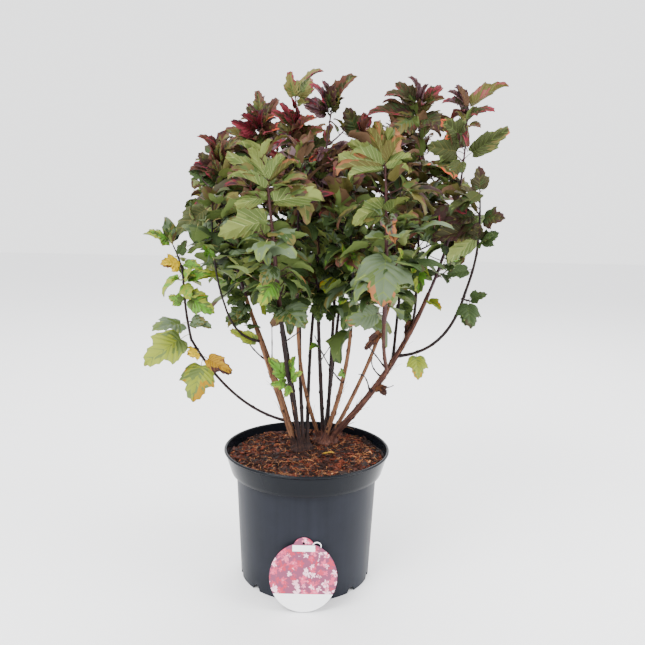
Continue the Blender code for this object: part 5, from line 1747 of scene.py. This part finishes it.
def leaf_finish(name, colour):
    """A plain colour, with a leaf's faint sheen and fine net of veins in roughness and bump."""
    finish = Finish("leaf_" + name, colour, 0.5, Specular_IOR_Level=0.14)
    net = finish.noise(finish.place(), 700.0, 3.0, 0.6)
    finish.feed("Roughness", net * 0.25 + 0.42)
    finish.bump(net, 0.0006, 0.5)
    return finish


def detailed_leaves(leaves):
    """The leaves listed one by one and those furthest out, which get the finer form."""
    out = [1e9 if "shown" in leaf else np.linalg.norm((leaf["belly"] - CROWN_MIDDLE) * (1.0, 1.2, 0.8))
           - (0.5 if "young" in leaf else 0.0) for leaf in leaves]
    return {id(leaves[number]) for number in np.argsort(out)[::-1][:DETAILED_LEAVES]}


def sprays(heap, growth, names, detailed):
    """Each leaf of a mass, its tint given one by one, or dealt to its spray in its band of height."""
    rng = default_rng(growth.mass.seed + 300)
    deals = DEALS_OF_MASS.get(growth.mass.name, DEALS[growth.mass.leaves])
    tints = {}
    for leaf in growth.leaves:
        if "shown" in leaf:
            name = leaf["shown"].tint
        elif "young" in leaf:
            name = dealt(YOUNG_DEALS, leaf["tip"][2], rng)
        else:
            height = leaf["belly"][2]
            spray = leaf["spray"], sum(height >= floor for floor, _ in deals)
            if spray not in tints or rng.random() < 0.25:
                tints[spray] = dealt(deals, height, rng)
            name = tints[spray]
        leaf["tint"] = tint = TINTS[name]
        form = FINE_FORM if id(leaf) in detailed else PLAIN_FORM
        local = leaf_points(form, shape_of(leaf, rng), rng)
        base, tip, face = placed(leaf)
        length = np.linalg.norm(tip - base)
        aim = (tip - base) / length
        side = unit(np.cross(aim, face))
        normal = np.cross(side, aim)
        points = base + length * (local[:, :1] * side + local[:, 1:2] * aim + local[:, 2:] * normal)
        points = np.clip(points, CROWN_LOW - 0.004, CROWN_HIGH + 0.004)
        lookup = np.array([names.index(colour) for colour in tint[:8]])
        heap.add(points, form.faces, lookup[leaf_regions(form, tint, rng)])


def placed(leaf):
    """The leaf's stalk end, its tip and the way its upper side looks."""
    root, tip, face = leaf["root"], leaf["tip"], leaf["face"]
    share = STALK_SHARE * (0.6 if "young" in leaf else 1.0)
    if "shown" in leaf:
        face = FACINGS[leaf["shown"].facing] + leaf["tilt"]
        if leaf["shown"].facing == "back":
            share = FAN_STALK_SHARE
    base = root + (tip - root) * share + UPWARDS * 0.03 * np.linalg.norm(tip - root)
    return base, tip, face


class SHRUB_OT_twigs(bpy.types.Operator):
    """The leaders, side twigs and leaf stalks, with a swelling at each node"""

    bl_idname = "shrub.twigs"
    bl_label = "Twigs and leaf stalks"

    def execute(self, context):
        finishes = [twig_finish(name, getattr(look("bark"), name)) for name in TWIG_COLOURS]
        limbs, _, growths = crown()
        twigs = Heap()
        stalks = Heap()
        for growth in growths:
            slot = ("bronze_leaves", "pale_leaves", "green_leaves").index(growth.mass.leaves)
            leader(twigs, growth, limbs, slot)
            for twig in growth.twigs:
                side_twig(twigs, twig, slot)
            for leaf in growth.leaves:
                stalk(stalks, leaf)
        bare_twigs(twigs, limbs)
        twigs.piece("leaders_and_twigs", finishes, 60.0)
        stalks.piece("leaf_stalks", finishes, 60.0)
        return {"FINISHED"}


def twig_finish(name, colour):
    finish = Finish(name, colour, 0.5, Specular_IOR_Level=0.22)
    streaks = finish.noise(finish.grain(1200.0, 1200.0, 90.0), 1.0)
    pale = tuple(min(1.0, 1.8 * part + 0.006) for part in colour)
    finish.feed("Base Color", finish.mix(finish.stretch(streaks, 0.5, 0.75), colour, pale))
    finish.feed("Roughness", streaks * 0.3 + 0.35)
    finish.bump(streaks, 0.0004, 0.6)
    return finish


def leader(heap, growth, limbs, slot):
    """A leader that swells at each node, and the pointed bud that ends it."""
    path, radii = sunk(*leader_path(growth.mass, limbs, FINE_LEADER_STEPS), FOOT_SUNK)
    share = np.linspace(0, 1, len(path))
    swelling = 0.16 * np.exp(-((((share * growth.length / INTERNODE) % 1.0) - 0.5) / 0.13) ** 2)
    stout = 1.35 if growth.mass.name in THICK_LEADERS else 1.0
    heap.add_tube(path, radii * (1 - 0.45 * share**3) * stout * (1 + swelling), 8, slot)
    reach = np.array([[0.0], [0.35], [0.75], [1.0]])
    bud = path[-1] + unit(path[-1] - path[-3]) * reach * BUD_SIZE * 1.6
    points, faces, _ = tube(bud, BUD_SIZE * np.array([0.35, 0.48, 0.30, 0.04]), 6)
    heap.add(points, faces, slot)


def side_twig(heap, twig, slot):
    """A shallow curve from the leader, sagging by a twentieth of its length."""
    steps, sides, thick = (5, 5, 0.0008) if twig.fine else (10, 6, 0.0013)
    length = np.linalg.norm(twig.end - twig.start)
    middle = (twig.start + twig.end) / 2 - UPWARDS * length * 0.05
    path = through(twig.start, middle, twig.end, steps)
    heap.add_tube(path, np.linspace(thick * 1.3, thick * 0.7, steps + 1), sides, slot)


def stalk(heap, leaf):
    """The stalk from the twig to the blade, bowed upwards."""
    base, tip, _ = placed(leaf)
    length = np.linalg.norm(base - leaf["root"])
    middle = (leaf["root"] + base) / 2 + UPWARDS * length * 0.12
    path = through(leaf["root"], middle, base + unit(tip - base) * length * 0.12, 4)
    thick = STALK_RADIUS * (0.7 if "young" in leaf else 1.0)
    heap.add_tube(path, np.full(5, thick), 4, TWIG_COLOURS.index(leaf["tint"].stalk))


def bare_twigs(heap, limbs):
    """Twigs without leaves, swollen at every fourth ring."""
    rng = default_rng(77)
    swelling = 1 + 0.4 * (np.arange(15) % 4 == 2)
    for limb, share, *tip in BARE_TWIGS:
        start = leaving_point(limbs[limb][0], share / 100)
        tip = np.array(tip) / 1000
        middle = (start + tip) / 2 + rng.normal(0, 0.004, 3)
        heap.add_tube(through(start, middle, tip, 14), np.linspace(0.0014, 0.0007, 15) * swelling, 6, 2)


def tag_lean(height):
    """The lean that brings the card's back edge to the pot's wall, found by halving."""
    low, high = 0.0, 1.2
    for _ in range(40):
        lean = (low + high) / 2
        back = -TAG_FOOT_FORWARD + height * math.sin(lean) + TAG_THICKNESS * math.cos(lean)
        if back < -wall_radius(height * math.cos(lean)) - 0.0004:
            low = lean
        else:
            high = lean
    return low


class SHRUB_OT_tag(bpy.types.Operator):
    """The round tag: a card with an ear and a hole, printed with plain blossoms, and its white loop"""

    bl_idname = "shrub.tag"
    bl_label = "Tag"

    def execute(self, context):
        colours = look("tag")
        card = tag_card(colours)
        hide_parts("tag")
        tag_loop(colours)
        return {"FINISHED"}


def tag_card(colours):
    """A grid of rows from the hole to the outline, its two sides a card's thickness apart.

    From the hole's centre the card reaches as far as its disc or its ear does.
    """
    centre = TAG_EAR_RISE + TAG_HOLE_RISE
    turns = ring(TAG_COLUMNS)
    along = np.stack([np.sin(turns), np.cos(turns)], axis=1)
    reaches = []
    for rise, radius in ((0.0, TAG_RADIUS), (TAG_EAR_RISE, TAG_EAR_RADIUS)):
        off = centre - rise
        dot = along[:, 1] * off
        reaches.append(-dot + np.sqrt(np.clip(dot**2 - off**2 + radius**2, 0.0, None)))
    share = np.linspace(0.0, 1.0, 12)[:, None, None] ** 1.3
    flat = TAG_HOLE_RADIUS * along * (1 - share) + np.maximum(*reaches)[:, None] * along * share
    across = flat[..., :1]
    rise = flat[..., 1:] + centre + TAG_RADIUS
    lean = tag_lean(rise.max())
    up = np.array([0.0, math.sin(lean), math.cos(lean)])
    back = np.array([0.0, math.cos(lean), -math.sin(lean)])
    foot = np.array([0.0, -TAG_FOOT_FORWARD, TAG_LIFT + TAG_THICKNESS])
    warp = 0.0005 * np.cos(across / TAG_RADIUS * 2.0)
    front = foot + across * (1.0, 0.0, 0.0) + rise * up - warp * back
    grid = np.concatenate([front, (front + back * TAG_THICKNESS)[::-1], front[:1]])
    heap = Heap()
    heap.add(grid, skin(len(grid), TAG_COLUMNS)[:, ::-1])
    return heap.piece("tag_card", [tag_print(colours)], 30.0)


def tag_print(colours):
    """Blossoms on a dark ground: five petals round the middle of each cell, and a plain foot."""
    finish = Finish("tag_print", colours.card, 0.28)
    place = finish.place()
    x, z = finish.axis(place, "X"), finish.axis(place, "Z")
    flat = finish.node("ShaderNodeCombineXYZ", {}, {"X": x, "Y": z})
    sway = finish.node("ShaderNodeTexNoise", {}, {"Vector": flat, "Scale": 130.0, "Detail": 3.0}, "Color")
    flat = finish.vector("ADD", flat, finish.vector("SCALE", sway, Scale=0.009))
    ground = colours.ground
    for scale, offset in ((66.0, 0.0), (84.0, 3.0), (125.0, 7.0)):
        ground = blossoms(finish, flat, scale, offset, ground, colours)
    printed = finish.stretch(z, TAG_BAND_HEIGHT, TAG_BAND_HEIGHT + 0.0004)
    low, high, half = TAG_STRIP
    across = x.maths("ABSOLUTE", x)
    strip = finish.stretch(z, low, low + 0.0004) * finish.stretch(z, high, high - 0.0004)
    printed = printed * (1.0 - strip * finish.stretch(across, half, half - 0.0006))
    finish.feed("Base Color", finish.mix(printed, colours.card, ground))
    finish.bump(finish.noise(place, 500.0, 2.0), 0.0002, 0.2)
    return finish


def blossoms(finish, flat, scale, offset, ground, colours):
    """A petal's edge is at a radius of 0.34 + 0.20 |cos 2.5 a| of its cell."""
    moved = finish.node("ShaderNodeMapping", {}, {"Vector": flat, "Location": (offset, offset, 0.0)})
    cell = {"Vector": moved, "Scale": scale, "Randomness": 0.75}
    middle, shade = (finish.node("ShaderNodeTexVoronoi", {"voronoi_dimensions": "2D"}, cell, output)
                     for output in ("Position", "Color"))
    away = finish.vector("SUBTRACT", moved, middle)
    dx, dy = finish.axis(away, "X"), finish.axis(away, "Y")
    radius = finish.vector("LENGTH", away, output="Value") * scale
    turn = dy.maths("ARCTAN2", dy, dx)
    pick = finish.node("ShaderNodeSeparateColor", {}, {"Color": shade})
    wave = turn.maths("COSINE", turn * 2.5 + pick * 6.0)
    petal = finish.stretch(wave.maths("ABSOLUTE", wave) * 0.20 + 0.34 - radius, 0.0, 0.05)
    tone = finish.mix(finish.stretch(pick, 0.2, 0.5), colours.deep_petal, colours.petal)
    tone = finish.mix(finish.stretch(pick, 0.55, 0.75), tone, colours.pale_petal)
    tone = finish.mix(finish.stretch(radius, 0.30, 0.05), tone, colours.pale_petal)
    return finish.mix(petal, ground, tone)


def tag_loop(colours):
    """A thin white band bent into an open ring behind the ear."""
    turns = np.radians(np.linspace(-60, 235, 40))
    ways = np.stack([np.cos(turns), 0.12 * np.cos(turns), np.sin(turns)], axis=1)
    heap = Heap()
    heap.add_tube(np.array(TAG_LOOP_CENTRE) + TAG_LOOP_RADIUS * ways, np.full(40, 0.0009), 10)
    finish = Finish("tag_loop", colours.card, 0.4)
    finish.bump(finish.noise(finish.place(), 400.0, 2.0), 0.0003, 0.3)
    return heap.piece("tag_loop", [finish], 60.0)


class SHRUB_OT_stage(bpy.types.Operator):
    """A pale floor, soft light from a pale surround and three softboxes, and the photograph's view"""

    bl_idname = "shrub.stage"
    bl_label = "Stage"

    def execute(self, context):
        settings = look("stage")
        pale_floor(settings)
        world = bpy.data.worlds.new("pale_surround")
        world.use_nodes = True
        background = world.node_tree.nodes["Background"].inputs
        background["Color"].default_value = (0.985, 0.99, 1.0, 1.0)
        background["Strength"].default_value = settings.world_strength
        context.scene.world = world
        softbox("key_softbox", (-1.3, -1.5, 2.3), 1.5, settings.key_power)
        softbox("fill_softbox", (1.9, -0.6, 1.3), 1.2, settings.key_power * 0.45)
        softbox("back_softbox", (0.3, 1.8, 2.2), 1.5, settings.key_power * 0.5)
        camera = bpy.data.cameras.new("camera")
        camera.sensor_width = SENSOR_WIDTH
        camera.lens = FOCAL_PIXELS / FRAME_PIXELS * SENSOR_WIDTH
        context.scene.camera = added("camera", camera)
        context.scene.camera.rotation_euler = camera_turn().to_euler()
        context.scene.camera.location = CAMERA_PLACE
        return {"FINISHED"}


OPERATORS = (SHRUB_OT_pot, SHRUB_OT_compost, SHRUB_OT_stools, SHRUB_OT_limbs, SHRUB_OT_leaves,
             SHRUB_OT_twigs, SHRUB_OT_tag, SHRUB_OT_stage)
LOOKS = {"pot": ShrubPotLook, "bark": ShrubBarkLook, "leaves": ShrubLeafLook, "tag": ShrubTagLook,
         "stage": ShrubStageLook}


def pale_floor(settings):
    reach = settings.floor_radius
    corners = [(x * reach, y * reach, -0.0002) for x, y in ((-1, -1), (1, -1), (1, 1), (-1, 1))]
    mesh = bpy.data.meshes.new("floor")
    mesh.from_pydata(corners, [], [(0, 1, 2, 3)])
    mesh.materials.append(Finish("floor", settings.floor, 0.6).material)
    added("floor", mesh)


def softbox(name, place, size, power):
    """A square light that looks at the middle of the shrub."""
    light = bpy.data.lights.new(name, "AREA")
    light.shape = "SQUARE"
    light.size = size
    light.energy = power
    obj = added(name, light)
    obj.location = place
    obj.rotation_euler = (Vector((0.0, 0.0, 0.45)) - Vector(place)).to_track_quat("-Z", "Y").to_euler()


class SHRUB_PT_panel(bpy.types.Panel):
    """The shrub's pieces and their looks"""

    bl_label = "Potted shrub"
    bl_idname = "SHRUB_PT_panel"
    bl_space_type = "VIEW_3D"
    bl_region_type = "UI"
    bl_category = "Shrub"

    def draw(self, context):
        for name, group in LOOKS.items():
            box = self.layout.box()
            box.label(text=name.capitalize())
            for setting in group.__annotations__:
                box.prop(look(name), setting)
        for operator in OPERATORS:
            self.layout.operator(operator.bl_idname)


def register():
    for name, group in LOOKS.items():
        bpy.utils.register_class(group)
        setattr(bpy.types.Scene, "shrub_" + name, bpy.props.PointerProperty(type=group))
    for kind in (*OPERATORS, SHRUB_PT_panel):
        bpy.utils.register_class(kind)


def unregister():
    for kind in (SHRUB_PT_panel, *reversed(OPERATORS)):
        bpy.utils.unregister_class(kind)
    for name, group in LOOKS.items():
        delattr(bpy.types.Scene, "shrub_" + name)
        bpy.utils.unregister_class(group)


def main():
    register()
    bpy.ops.shrub.stage()
    bpy.ops.shrub.pot()
    bpy.ops.shrub.compost()
    bpy.ops.shrub.stools()
    bpy.ops.shrub.limbs()
    bpy.ops.shrub.leaves()
    bpy.ops.shrub.twigs()
    bpy.ops.shrub.tag()


if __name__ == "__main__":
    main()
